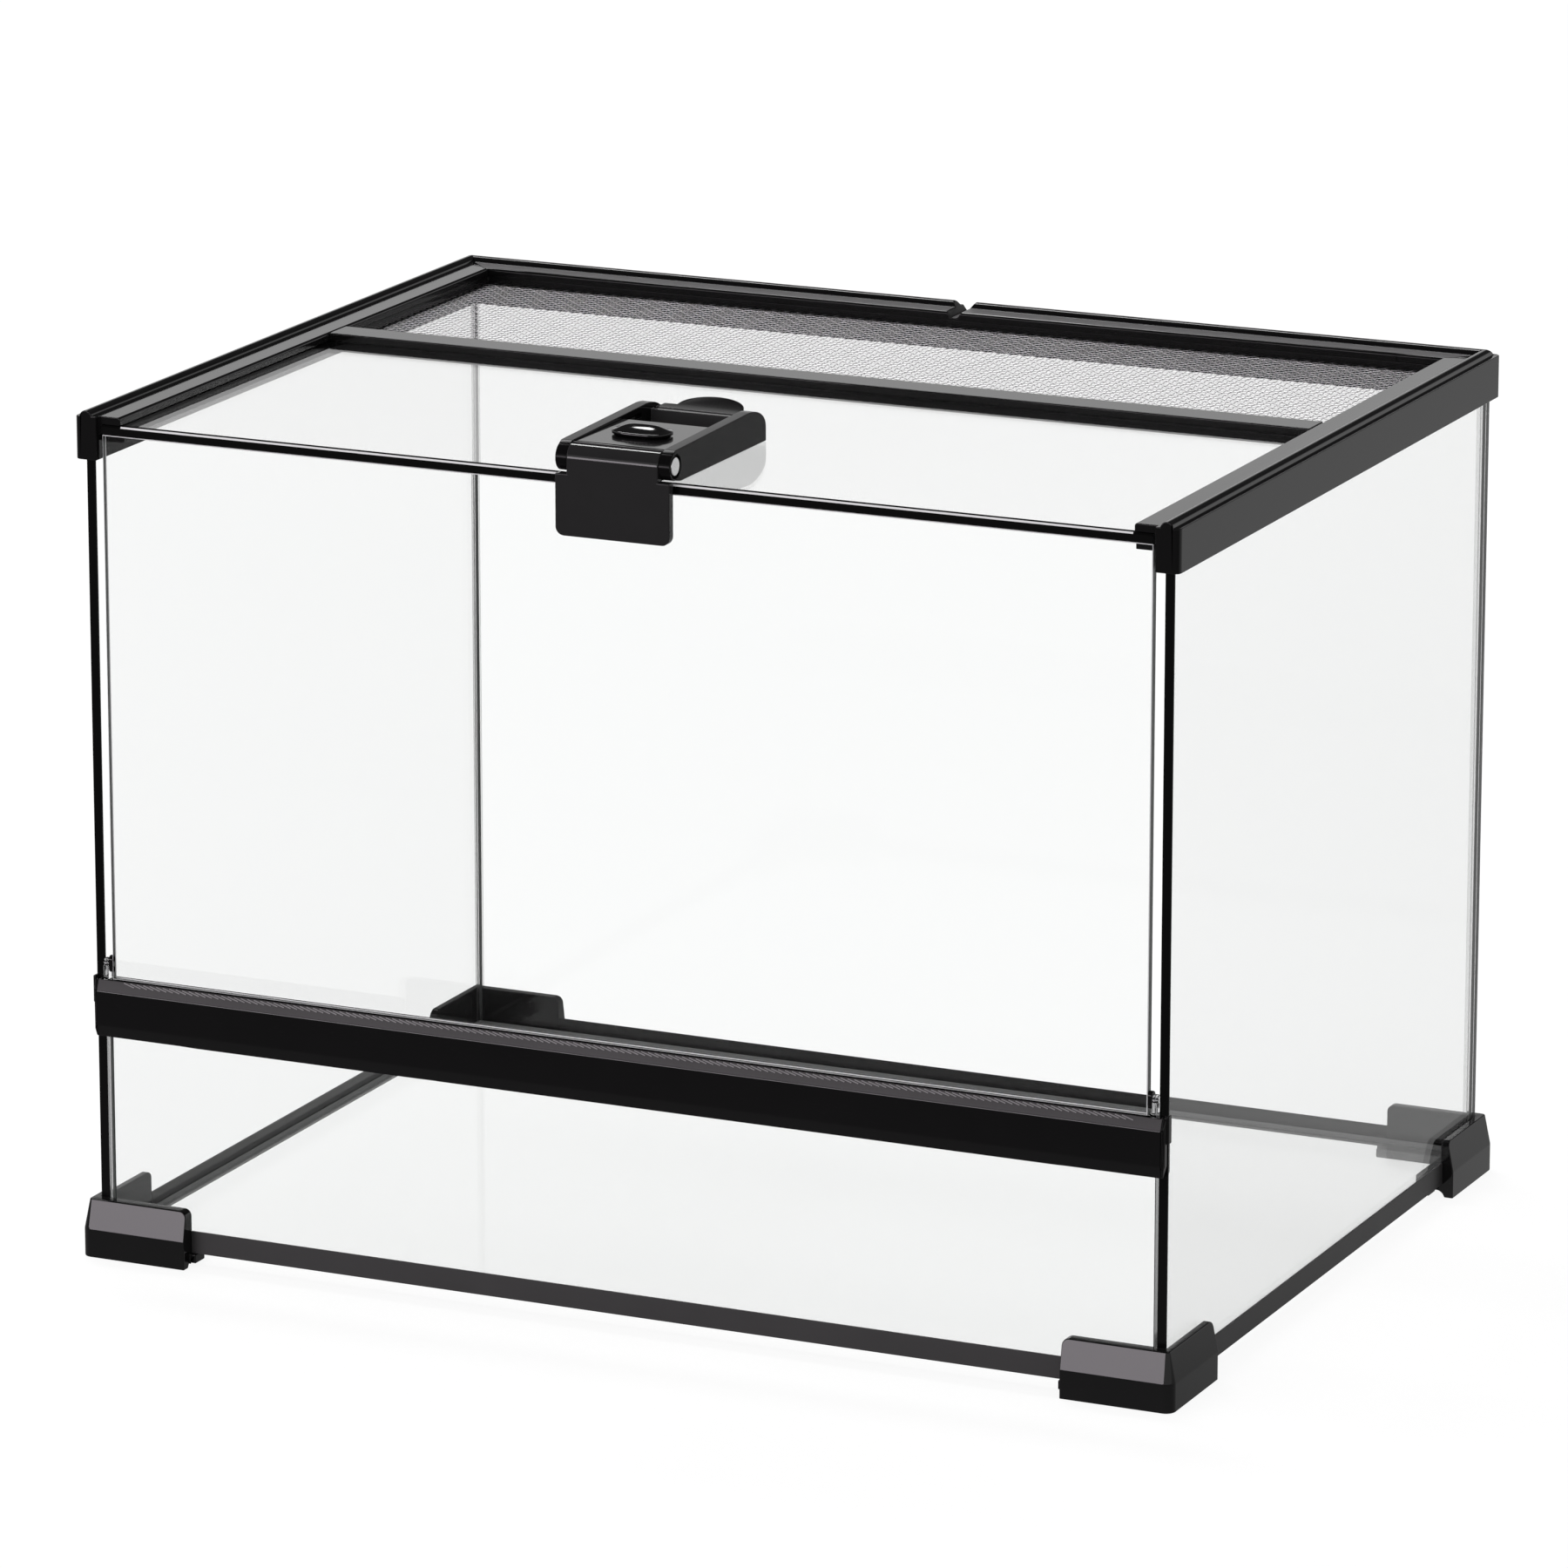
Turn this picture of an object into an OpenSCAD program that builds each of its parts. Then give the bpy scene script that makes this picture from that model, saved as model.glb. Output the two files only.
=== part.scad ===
// Reptile terrarium with a drop-down front door.
// Glass panes stand in a plastic base and are held at the top by plastic rails.
// Millimetres. X runs along the width, Y to the rear and Z up.
// The origin lies on the floor under the middle of the tank.

/* [Tank] */
// Width over the top side rails
tank_w = 400; // [320:1:800]
// Depth over the top rails
tank_d = 292; // [240:1:500]
// Height of the top rails' flanges above the floor
tank_h = 294.8; // [260:0.1:600]
// Thickness of every glass pane
glass_t = 3.2; // [2.8:0.1:3.4]
// Distance from the rails' front to the face of the front lower pane
front_inset = 3.5; // [3.2:0.1:4]
// Height of the panes' lower edges above the floor
pane_seat = 5.6; // [5:0.1:8]

/* [Feet] */
// How far the feet stand out past the side rails
foot_out_x = 2; // [0.5:0.1:4]
// How far the feet stand out past the front and rear
foot_out_y = 3; // [1.5:0.1:5]
// Length of a foot's leg along the width
foot_leg_x = 39.8; // [30:0.1:60]
// Length of a foot's leg along the depth
foot_leg_y = 40; // [30:0.1:60]
// Height of a foot
foot_h = 20.4; // [16:0.1:30]
// Height at which a foot's outer walls start to lean inward
foot_lean_z = 9.8; // [6:0.1:12]
// How far the outer walls lean inward at the top
foot_lean = 2.1; // [0.5:0.1:2.4]
// Corner radius of a foot in plan
foot_corner_r = 3.5; // [3:0.1:6]
// Radius at the upper ends of a foot's legs
foot_end_r = 2.5; // [1:0.1:4]
// Width of the rim that a foot stands on
foot_rim = 3.3; // [2.5:0.1:5]
// Height of the hollow underside behind the rim
sole_z = 2.4; // [1:0.1:3]
// Radius between the rim and the hollow underside
sole_r = 3.1; // [2.8:0.1:4]
// Length of the tongue that carries a front or rear base strip
tongue_x = 2.3; // [1:0.1:8]
// Length of the tongue that carries a side base strip
tongue_y = 5.3; // [1:0.1:8]
// How far the front and rear tongues stand out past their pane
tongue_out = 2.2; // [0:0.1:2.4]
// How far the side tongues lie inside their pane's outer face
tongue_in = 2.1; // [0:0.1:4]
// Width of the tongues
tongue_w = 6.6; // [5:0.1:8]
// Height of the tongues' underside above the floor
tongue_z = 1.6; // [1:0.1:4]
// Width of the ledge that carries the base pane
base_ledge = 8; // [6:0.1:12]

/* [Base strips] */
// Height of a base strip
strip_h = 7.8; // [6:0.1:12]
// Thickness of a base strip's outer wall and floor
strip_wall = 0.8; // [0.6:0.1:1.2]
// How far a strip's floor reaches under the base pane
strip_lip = 2.2; // [1.5:0.1:4]

/* [Top rails] */
// Distance from a rail's outer face to its pane
rail_wall = 2.8; // [2:0.1:3.4]
// Width of a rail's leg
leg_w = 8.3; // [7.5:0.1:11]
// Height of a rail's leg
leg_h = 15; // [12:0.1:25]
// Depth of the channel that a pane stands in
channel_h = 10.2; // [6:0.1:12]
// How far the outer shoulder lies below the flange
shoulder_drop = 0.2; // [0:0.1:1]
// Radius of the bead along a rail's top
bead_r = 2.4; // [1.5:0.1:3]
// Distance from a rail's outer face to the middle of its bead
bead_in = 4.4; // [3:0.1:5]
// Depth of the bead's centre below the flange
bead_sink = 0.5; // [0:0.1:1.5]
// Distance from a side rail's outer face to its flange edge
side_flange = 16.4; // [14:0.1:24]
// Distance from the rear rail's outer face to its flange edge
rear_flange = 14.7; // [13:0.1:22]
// Thickness of the upper flange
flange_t = 2.85; // [2:0.05:4]
// Thickness of the ledge below the top glass
ledge_t = 2.8; // [1.5:0.05:3]
// How far the ledge stands out past the upper flange
ledge_lead = 0.3; // [0:0.1:1]
// Wall between a rail's leg and its glass groove
groove_wall = 1.3; // [1:0.1:2]
// Radius of the flange's upper edge
flange_edge_r = 1; // [0.4:0.1:1.8]
// Corner radius of the top frame in plan
rail_corner_r = 2.4; // [1:0.1:2.8]
// Distance from a side rail's front to the start of its flange
flange_start = 2.2; // [1:0.1:3]
// Width of the cable notch at the top of the rear rail
notch_w = 8.4; // [6:0.1:12]
// Width of the cable notch at its bottom
notch_floor_w = 2.4; // [1:0.1:4]
// Depth of the cable notch below the flange
notch_depth = 2.2; // [1:0.1:2.6]
// Distance from the middle to each seam groove of the rear rail
seam_x = 167; // [60:1:180]
// Width of a seam groove
seam_w = 0.4; // [0.2:0.1:1]
// Depth of a seam groove
seam_depth = 0.3; // [0.1:0.1:1]

/* [Crossbar] */
// Distance of the crossbar's front edge behind the middle
bar_y = 7.5; // [-20:0.5:40]
// Width of the crossbar
bar_w = 12.5; // [10:0.5:20]
// Thickness of the crossbar's web
bar_web = 3.5; // [2.5:0.1:5]

/* [Screen] */
// Thickness of the mesh
mesh_t = 0.5; // [0.4:0.1:1]
// How far the mesh frame hides behind the flange edges
frame_hide = 0.2; // [0:0.1:1]
// Openings along the width of the mesh
mesh_cols = 12; // [4:1:12]
// Openings along the depth of the mesh
mesh_rows = 4; // [2:1:6]
// Width of the bars between the openings
mesh_bar = 1.2; // [0.8:0.1:3]

/* [Front rail] */
// Height of the front rail's top above the floor
front_rail_z = 98.5; // [70:0.5:140]
// Height of the front rail
front_rail_h = 20; // [16:0.5:30]
// Thickness of the front rail's rear wall
front_rail_back = 1.4; // [1:0.1:2]
// Height of the chamfer along the upper front edge
rail_chamfer_h = 4; // [2:0.1:6]
// Depth of the chamfer along the upper front edge
rail_chamfer_d = 1.5; // [0.5:0.1:1.6]
// Height of the bevel along the lower front edge
rail_bevel_h = 4; // [2:0.1:6]
// Depth of the bevel along the lower front edge
rail_bevel_d = 0.9; // [0.3:0.1:1]
// How far the front pane reaches into the front rail
pane_grip = 15.3; // [8:0.1:15.5]
// Thickness of an end cap
cap_t = 1.2; // [1:0.1:2]
// Thickness of the tab that an end cap lays on the side pane
cap_tab_t = 0.7; // [0.6:0.1:1.2]
// Height of the tab
cap_tab_h = 9.5; // [6:0.5:14]
// Length of the tab
cap_tab_l = 1; // [0.5:0.5:14]
// Thickness of the neck between the cap and the tab
cap_neck_t = 1.6; // [1:0.1:2]
// Length of the plug that an end cap puts into the rail
cap_plug_l = 7; // [4:0.5:9]
// Height of the plug
cap_plug_h = 8; // [4:0.5:10]
// How far an end cap's lower corner is bevelled
cap_bevel = 0.6; // [0.2:0.1:1]

/* [Vent] */
// Spacing of the vent slots
vent_pitch = 4.4; // [3.5:0.1:8]
// Width of a vent slot
vent_slot_w = 1.7; // [1.2:0.1:2.4]
// Slant of the vent slots
vent_slant = 33; // [0:1:40]
// Thickness of the vent grille
vent_t = 1.5; // [1:0.1:2]
// Width of the grille's front and rear borders
vent_border = 0.8; // [0.5:0.1:1.2]
// Length left without slots at each end of the grille
vent_end = 4; // [2:0.5:10]
// Distance of the grille's seat behind the door's front face
seat_lip = 0.3; // [0.2:0.1:0.6]
// Wall behind the grille's seat
seat_wall = 1; // [0.8:0.1:1.2]
// Depth of the trough below the grille
trough_h = 2; // [1:0.1:3]
// Length of an air duct in the front rail
duct_l = 40; // [20:1:60]
// Spacing of the air ducts
duct_pitch = 46; // [30:1:70]
// Depth of an air duct from front to rear
duct_t = 1.2; // [0.8:0.1:1.2]
// Wall between the air ducts and the pane
duct_wall = 1.1; // [0.8:0.1:1.2]

/* [Door] */
// Gap between a door edge and a side pane
door_side_gap = 3.7; // [3:0.1:6]
// How far the door stands in front of the front lower pane
door_lead = 1.7; // [1:0.1:2.2]
// Gap between the door and the front rail
door_floor_gap = 0.4; // [0.3:0.05:1]
// Gap between the door and the top pane
door_head_gap = 0.15; // [0.1:0.05:0.4]
// Height of the hinge axis above the door's lower edge
hinge_rise = 5.1; // [4:0.1:9]
// Radius of a hinge pin
hinge_pin_r = 0.75; // [0.6:0.05:1]
// Thickness of a hinge lug
lug_t = 1.6; // [1.2:0.1:2]
// Height of a hinge lug
lug_h = 6; // [4.5:0.1:8]
// Thickness of a hinge bearing's post
bearing_t = 1.6; // [1.2:0.1:2]
// Radius of the post around the hinge axis
bearing_r = 2; // [1.6:0.1:2.4]
// Length of the bearing's foot in the front rail
bearing_foot_l = 6.2; // [4:0.1:9]

/* [Latch] */
// Distance of the latch from the middle of the door
latch_x = 1.2; // [-40:0.1:40]
// Width of the latch
latch_w = 41.4; // [34:0.1:60]
// Width of the barrel between the latch arm's ears
barrel_w = 33; // [26:0.1:50]
// Radius of the barrel
barrel_r = 5; // [4.4:0.1:5.4]
// Radius of an ear around the pin
ear_r = 4.7; // [4:0.1:4.8]
// Height of the pin above the top pane
pin_rise = 5.75; // [5.6:0.05:7]
// Thickness of the latch plate
plate_t = 3.3; // [2.5:0.1:3.4]
// Thickness of the adhesive pad
pad_t = 0.8; // [0.6:0.1:1]
// Height of the latch plate below the top of the door
plate_drop = 16.7; // [10:0.1:40]
// Margin of the adhesive pad inside the plate
pad_margin = 2; // [1:0.5:4]
// Radius of the latch plate's lower corners
plate_corner_r = 3; // [1:0.1:6]
// Gap between the plate's shoulders and the ears
shoulder_gap = 0.2; // [0.15:0.05:0.5]
// Radius of the latch pin
latch_pin_r = 2; // [1.5:0.1:2.4]
// Radius of the pin's heads
pin_head_r = 3.1; // [2.6:0.1:3.6]
// Thickness of the pin's heads
pin_head_t = 1; // [0.6:0.1:1.6]
// Gap between a pin's head and the recess around it
head_gap = 1; // [0.1:0.1:1.1]
// Distance from the pin to the latch arm's rear end
arm_l = 70; // [55:0.5:90]
// Height of the latch arm's side walls at the pin
arm_h = 10.9; // [10:0.1:13]
// Rise of the side walls towards the rear
arm_rise = 1.1; // [0:0.1:2]
// Length of the rounded rear end
arm_round_l = 13.5; // [6:0.5:20]
// Drop of the rounded rear end
arm_round_h = 7; // [4:0.1:8]
// Thickness of the latch arm's floor
arm_floor = 2.1; // [1.5:0.1:3]
// Gap between the barrel and the arm's floor
floor_gap = 0.7; // [0.3:0.1:2]
// Length of the bar across the arm's rear
bar_l = 10.5; // [8:0.1:14]
// How far the bar's top lies below the slider's top
bar_drop = 1; // [0.5:0.1:2]
// Length of the ridge in front of the bar's groove
bar_ridge = 1.9; // [1:0.1:3]
// Width of the bar's groove
bar_groove_w = 2; // [1:0.1:3]
// Depth of the bar's groove
bar_groove_h = 1.1; // [0.5:0.1:2]
// Radius of the lift tab
tab_r = 12; // [8:0.5:15]
// Thickness of the lift tab
tab_t = 2; // [1.2:0.1:3]
// Length of the slider plate behind the pin
slider_l = 37.8; // [30:0.1:45]
// Thickness of the slider plate
slider_t = 2.6; // [2:0.1:3.5]
// Travel of the slider
slider_travel = 14; // [6:0.5:16]
// Width of the slider's side tongues
slider_tongue = 1.2; // [0.8:0.1:1.8]
// Thickness of the side tongues
tongue_t = 1.2; // [0.8:0.1:1.4]
// Depth of the side tongues below the slider's top
tongue_drop = 0.9; // [0.6:0.1:1.1]
// Distance from the pin to the front end of the side tongues
tongue_start = 6; // [5.5:0.1:8]
// Thickness of the wall at the slider's rear end
slider_skirt = 2.5; // [1:0.1:4]
// Distance of the knob behind the pin
knob_y = 18.3; // [14:0.1:25]
// Length of the knob across the slider
knob_l = 20.5; // [14:0.1:26]
// Width of the knob along the slider
knob_w = 13; // [8:0.1:16]
// Height of the knob
knob_h = 3.7; // [2.5:0.1:5]

/* [Clearances] */
// Play of a pane in its channel, on each side
pane_play = 0.1; // [0.05:0.05:0.2]
// Running play of a pin in its bore
pin_play = 0.05; // [0.02:0.01:0.08]
// Gap between parts that move past each other
move_gap = 0.2; // [0.15:0.05:0.3]
// Gap between parts that are pushed together
seat_gap = 0.05; // [0.02:0.01:0.1]

/* [Hidden] */
$fn = 48;

// Room that a cut runs past a face
over = 1;
// Thickness of the dark bands on the panes' front edges
band_t = 0.3;
// Width of the joint beside the front lower pane, and of the bead in a rear corner
joint_w = 1.1;
bead_w = 2.2;
// Gap between a hinge bearing's post and the side pane
post_gap = 0.3;

// Outer faces of the panes
half_w = tank_w / 2;
half_d = tank_d / 2;
pane_x = half_w - rail_wall;
rear_y = half_d - rail_wall;
front_y = half_d - front_inset;
side_inner_x = pane_x - glass_t;

// Heights in the top frame
leg_z = tank_h - leg_h;
groove_top = tank_h - flange_t;
groove_z = groove_top - glass_t - 2 * pane_play;
ledge_z = groove_z - ledge_t;
top_pane_z = groove_z + pane_play;
top_pane_top = top_pane_z + glass_t;
channel_top = leg_z + channel_h;
pane_top = channel_top - pane_play;
groove_in = leg_w + groove_wall;
ledge_in = side_flange + ledge_lead;
top_half = half_w - groove_in - 2 * pane_play;
flange_x = half_w - side_flange;
flange_y = half_d - rear_flange;

// Front and rear of the crossbar's web
web_y = bar_y + (bar_w - bar_web) / 2;
web_rear = web_y + bar_web;

// The clear opening above the mesh, as half its width and its front and rear edges
screen_half = flange_x + frame_hide;
screen_front = bar_y + bar_w - frame_hide;
screen_rear = flange_y + frame_hide;

// Base: the edges of the base pane, which meets the panes round it
base_x = side_inner_x - pane_play;
base_rear = rear_y - glass_t - pane_play;
base_front = front_y - glass_t - pane_play;
strip_z = pane_seat - strip_wall;
foot_x = half_w + foot_out_x;
foot_y = half_d + foot_out_y;
leg_end_x = foot_x - foot_leg_x;
leg_end_y = foot_y - foot_leg_y;

// Door and hinge
door_face = front_y + door_lead;
door_half = side_inner_x - door_side_gap;
door_z = front_rail_z + door_floor_gap;
door_top = top_pane_z - door_head_gap;
hinge_y = -(door_face - glass_t / 2);
hinge_z = door_z + hinge_rise;
post_x = side_inner_x - bearing_t - post_gap;
ledge_start = -(door_face - glass_t - move_gap);

// Latch: the barrel's front lies flush with the plate's front
plate_back = -(door_face + pad_t);
plate_front = plate_back - plate_t;
pin_y = plate_front + barrel_r;
pin_z = top_pane_top + pin_rise;
arm_z = top_pane_top + move_gap;
arm_top = arm_z + arm_h;
arm_end = pin_y + arm_l;
shoulder_z = pin_z - ear_r - shoulder_gap;
slider_top = pin_z + barrel_r - seat_gap * 2;
slider_end = pin_y + slider_l;
slider_half = barrel_w / 2 - move_gap / 2;
tongue_half = slider_half + slider_tongue;
tongue_low = slider_top - tongue_drop - tongue_t;

// Front rail: its rear face, the trough below the grille and the grille's seat
rail_back = -(front_y - glass_t - pane_play - front_rail_back);
vent_y0 = seat_lip - door_face;
vent_y1 = rail_back - seat_wall;
vent_half = post_x + bearing_t - bearing_foot_l - pane_play;
rail_low = front_rail_z - front_rail_h;
rail_mid = rail_low + front_rail_h / 2;
rail_inside = -front_y - pane_play;
duct_y = rail_inside - duct_wall;
cap_x = pane_x - move_gap;
lower_pane_top = front_rail_z - front_rail_h + pane_grip;

// Pushes a drawing of X and Z along Y
module along_y(y0, y1) {
    translate([0, y1, 0]) rotate([90, 0, 0]) linear_extrude(height = y1 - y0) children();
}

// Pushes a drawing of Y and Z along X
module along_x(x0, x1) {
    translate([x0, 0, 0]) rotate([90, 0, 90]) linear_extrude(height = x1 - x0) children();
}

// A box between two corners
module span(a, b) {
    translate(a) cube(b - a);
}

// The same shape on the left or the right side
module on_side(right) {
    if (right) children();
    else mirror([1, 0, 0]) children();
}

// ---------- Top rails ----------

// Distances run inward from the rail's outer face, heights from the floor
module leg_shape() {
    translate([0, leg_z]) square([leg_w, leg_h - shoulder_drop]);
    translate([bead_in, tank_h - bead_sink]) circle(r = bead_r);
    translate([bead_in, leg_z]) square([leg_w - bead_in, leg_h]);
}

module flange_shape(reach) {
    r = flange_edge_r;
    translate([leg_w - seat_gap, groove_top]) square([reach - r - leg_w + seat_gap, flange_t]);
    translate([leg_w - seat_gap, groove_top]) square([reach - leg_w + seat_gap, flange_t - r]);
    translate([reach - r, tank_h - r]) circle(r = r);
    translate([leg_w - seat_gap, groove_z]) square([groove_wall + seat_gap, tank_h - groove_z]);
}

module ledge_shape(reach) {
    translate([leg_w - seat_gap, ledge_z]) square([reach - leg_w + seat_gap, ledge_t]);
}

module channel_shape() {
    translate([rail_wall - pane_play, leg_z - over])
        square([glass_t + 2 * pane_play, channel_h + over]);
}

// Turns inward distances into positions on the right side
module from_right() {
    translate([half_w, 0]) mirror([1, 0]) children();
}

// The same for the rear, where the drawing's first axis is Y
module from_rear() {
    translate([half_d, 0]) mirror([1, 0]) children();
}

// Plan of the whole top frame with its rounded corners
module frame_plan() {
    r = rail_corner_r;
    square([tank_w - 2 * r, tank_d], center = true);
    square([tank_w, tank_d - 2 * r], center = true);
    for (sx = [-1, 1], sy = [-1, 1])
        translate([sx * (half_w - r), sy * (half_d - r)]) circle(r = r);
}

module frame_block() {
    translate([0, 0, leg_z - over]) linear_extrude(height = leg_h + bead_r + 2 * over) frame_plan();
}

// The rear rail's share of the corners, cut at 45 degrees
module rear_zone() {
    inner_x = half_w - rear_flange;
    translate([0, 0, leg_z - 2 * over])
        linear_extrude(height = leg_h + bead_r + 4 * over)
            polygon([[half_w + over, half_d + over], [inner_x, flange_y],
                     [-inner_x, flange_y], [-half_w - over, half_d + over]]);
}

module top_rail_side(right) {
    color("black") on_side(right) difference() {
        intersection() {
            union() {
                along_y(-half_d, half_d) from_right() leg_shape();
                along_y(flange_start - half_d, half_d) from_right() flange_shape(side_flange);
                along_y(ledge_start, half_d) from_right() ledge_shape(ledge_in);
            }
            frame_block();
        }
        along_y(-front_y - pane_play, half_d + over) from_right() channel_shape();
        rear_zone();
    }
}

module top_rail_left() {
    top_rail_side(false);
}

module top_rail_right() {
    top_rail_side(true);
}

module top_rail_rear() {
    color("black") difference() {
        intersection() {
            along_x(-half_w, half_w) from_rear() {
                leg_shape();
                flange_shape(rear_flange);
                ledge_shape(rear_flange);
            }
            frame_block();
            rear_zone();
        }
        along_x(-half_w - over, half_w + over) from_rear() channel_shape();
        along_y(flange_y - over, half_d + over) cable_notch_shape();
        for (side = [-1, 1])
            translate([side * seam_x, flange_y, groove_top + flange_t / 2])
                cube([seam_w, 2 * seam_depth, flange_t + over], center = true);
    }
}

module cable_notch_shape() {
    floor_z = tank_h - notch_depth;
    top_z = tank_h - bead_sink + bead_r;
    flare = (notch_w - notch_floor_w) / 2 * (top_z + over - floor_z) / (top_z - floor_z);
    polygon([[-notch_floor_w / 2, floor_z], [notch_floor_w / 2, floor_z],
             [notch_floor_w / 2 + flare, top_z + over], [-notch_floor_w / 2 - flare, top_z + over]]);
}

module top_crossbar() {
    ledge_step = 0.5;
    ledge_x = half_w - ledge_in;
    r = flange_edge_r / 2;
    color("black") {
        along_x(-flange_x, flange_x) {
            translate([bar_y, groove_top]) square([bar_w, flange_t - r]);
            translate([bar_y + r, groove_top]) square([bar_w - 2 * r, flange_t]);
            for (y = [bar_y + r, bar_y + bar_w - r]) translate([y, tank_h - r]) circle(r = r);
        }
        span([-ledge_x, web_y, ledge_z], [ledge_x, web_rear, groove_top]);
        span([-ledge_x, bar_y + ledge_step, ledge_z], [ledge_x, bar_y + bar_w, groove_z]);
        span([-top_half, web_y, top_pane_z], [top_half, web_rear, top_pane_top]);
    }
}

// ---------- Top glass and screen ----------

module top_pane() {
    color([0.8, 0.9, 0.9, 0.35])
        span([-top_half, -door_face + band_t, top_pane_z],
             [top_half, web_y - pane_play, top_pane_top]);
}

module top_edge_band() {
    color("black")
        span([-top_half, -door_face, top_pane_z], [top_half, -door_face + band_t, top_pane_top]);
}

module mesh_frame() {
    color("black") difference() {
        span([-top_half, web_rear + pane_play, top_pane_z + mesh_t],
             [top_half, half_d - groove_in - pane_play, top_pane_top]);
        span([-screen_half, screen_front, top_pane_z - over], [screen_half, screen_rear, tank_h]);
    }
}

// A plain grid that stands for the woven wire
module mesh_screen() {
    step = [(2 * screen_half + mesh_bar) / mesh_cols, (screen_rear - screen_front + mesh_bar) / mesh_rows];
    color("gainsboro") difference() {
        span([-top_half, web_rear + pane_play, top_pane_z],
             [top_half, half_d - groove_in - pane_play, top_pane_z + mesh_t]);
        for (i = [0 : mesh_cols - 1], j = [0 : mesh_rows - 1])
            translate([i * step[0] - screen_half, screen_front + j * step[1], top_pane_z - over])
                cube([step[0] - mesh_bar, step[1] - mesh_bar, mesh_t + 2 * over]);
    }
}

// ---------- Panes ----------

module side_pane(right) {
    color([0.8, 0.9, 0.9, 0.35]) on_side(right)
        span([side_inner_x, -front_y + band_t - pane_play, pane_seat],
             [pane_x, rear_y, pane_top]);
}

module side_pane_left() {
    side_pane(false);
}

module side_pane_right() {
    side_pane(true);
}

module side_edge_band(right) {
    color("black") on_side(right)
        span([side_inner_x, -front_y - pane_play, pane_seat],
             [pane_x, -front_y + band_t - pane_play, pane_top]);
}

module side_edge_band_left() {
    side_edge_band(false);
}

module side_edge_band_right() {
    side_edge_band(true);
}

module rear_pane() {
    half = side_inner_x - pane_play;
    color([0.8, 0.9, 0.9, 0.35])
        span([-half, rear_y - glass_t, pane_seat], [half, rear_y, pane_top]);
}

module front_lower_pane() {
    half = side_inner_x - joint_w;
    color([0.8, 0.9, 0.9, 0.35])
        span([-half, -front_y, pane_seat], [half, glass_t - front_y, lower_pane_top]);
}

module base_pane() {
    color([0.8, 0.9, 0.9, 0.35])
        span([-base_x, -base_front, pane_seat], [base_x, base_rear, pane_seat + glass_t]);
}

// ---------- Silicone joints ----------

module silicone_front(right) {
    color([0.85, 0.85, 0.85, 0.6]) on_side(right)
        span([side_inner_x - joint_w + seat_gap, -front_y, pane_seat],
             [side_inner_x - seat_gap, glass_t - front_y, front_rail_z - front_rail_h - seat_gap]);
}

module silicone_front_left() {
    silicone_front(false);
}

module silicone_front_right() {
    silicone_front(true);
}

// A hollow-faced bead in the corner between the rear pane and a side pane
module silicone_rear(right) {
    w = bead_w;
    base_top = pane_seat + glass_t;
    hollow_r = 0.92 * w;
    corner = [side_inner_x - seat_gap, rear_y - glass_t - seat_gap];
    color([0.85, 0.85, 0.85, 0.6]) on_side(right)
        translate([corner[0], corner[1], base_top + seat_gap])
            linear_extrude(height = leg_z - base_top - 2 * seat_gap)
                difference() {
                    translate([-w, -w]) square(w);
                    translate([-w, -w]) circle(r = hollow_r);
                }
}

module silicone_rear_left() {
    silicone_rear(false);
}

module silicone_rear_right() {
    silicone_rear(true);
}

// ---------- Base ----------

// A base strip's section, with distances inward from the pane's outer face
module strip_shape() {
    outer = strip_wall + pane_play;
    translate([-outer, strip_z]) square([strip_wall, strip_h]);
    translate([-outer, strip_z])
        square([outer + glass_t + strip_lip, strip_wall]);
}

module base_strip_front() {
    color("black") along_x(seat_gap - leg_end_x, leg_end_x - seat_gap)
        translate([-front_y, 0]) strip_shape();
}

module base_strip_rear() {
    color("black") along_x(seat_gap - leg_end_x, leg_end_x - seat_gap)
        translate([rear_y, 0]) mirror([1, 0]) strip_shape();
}

module base_strip_side(right) {
    color("black") on_side(right) along_y(seat_gap - leg_end_y, leg_end_y - seat_gap)
        translate([pane_x, 0]) mirror([1, 0]) strip_shape();
}

module base_strip_left() {
    base_strip_side(false);
}

module base_strip_right() {
    base_strip_side(true);
}

// Section of a foot's leg: upright to the lean, then leaning inward, and hollow below
module foot_shape(outer, inner) {
    sole_run = sqrt(pow(sole_r, 2) - pow(sole_r - sole_z, 2));
    sole_end = outer - foot_rim - sole_run;
    difference() {
        polygon([[inner, 0], [outer, 0], [outer, foot_lean_z],
                 [outer - foot_lean, foot_h], [inner, foot_h]]);
        translate([inner - over, -over]) square([sole_end - inner + over, sole_z + over]);
        translate([sole_end, sole_z - sole_r]) circle(r = sole_r);
    }
}

// Rounds the upper corner of a leg's end, which lies at the drawing's first axis
module end_round_shape(edge) {
    r = foot_end_r;
    difference() {
        translate([edge - over, foot_h - r]) square([r + over, r + over]);
        translate([edge + r, foot_h - r]) circle(r = r);
    }
}

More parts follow.
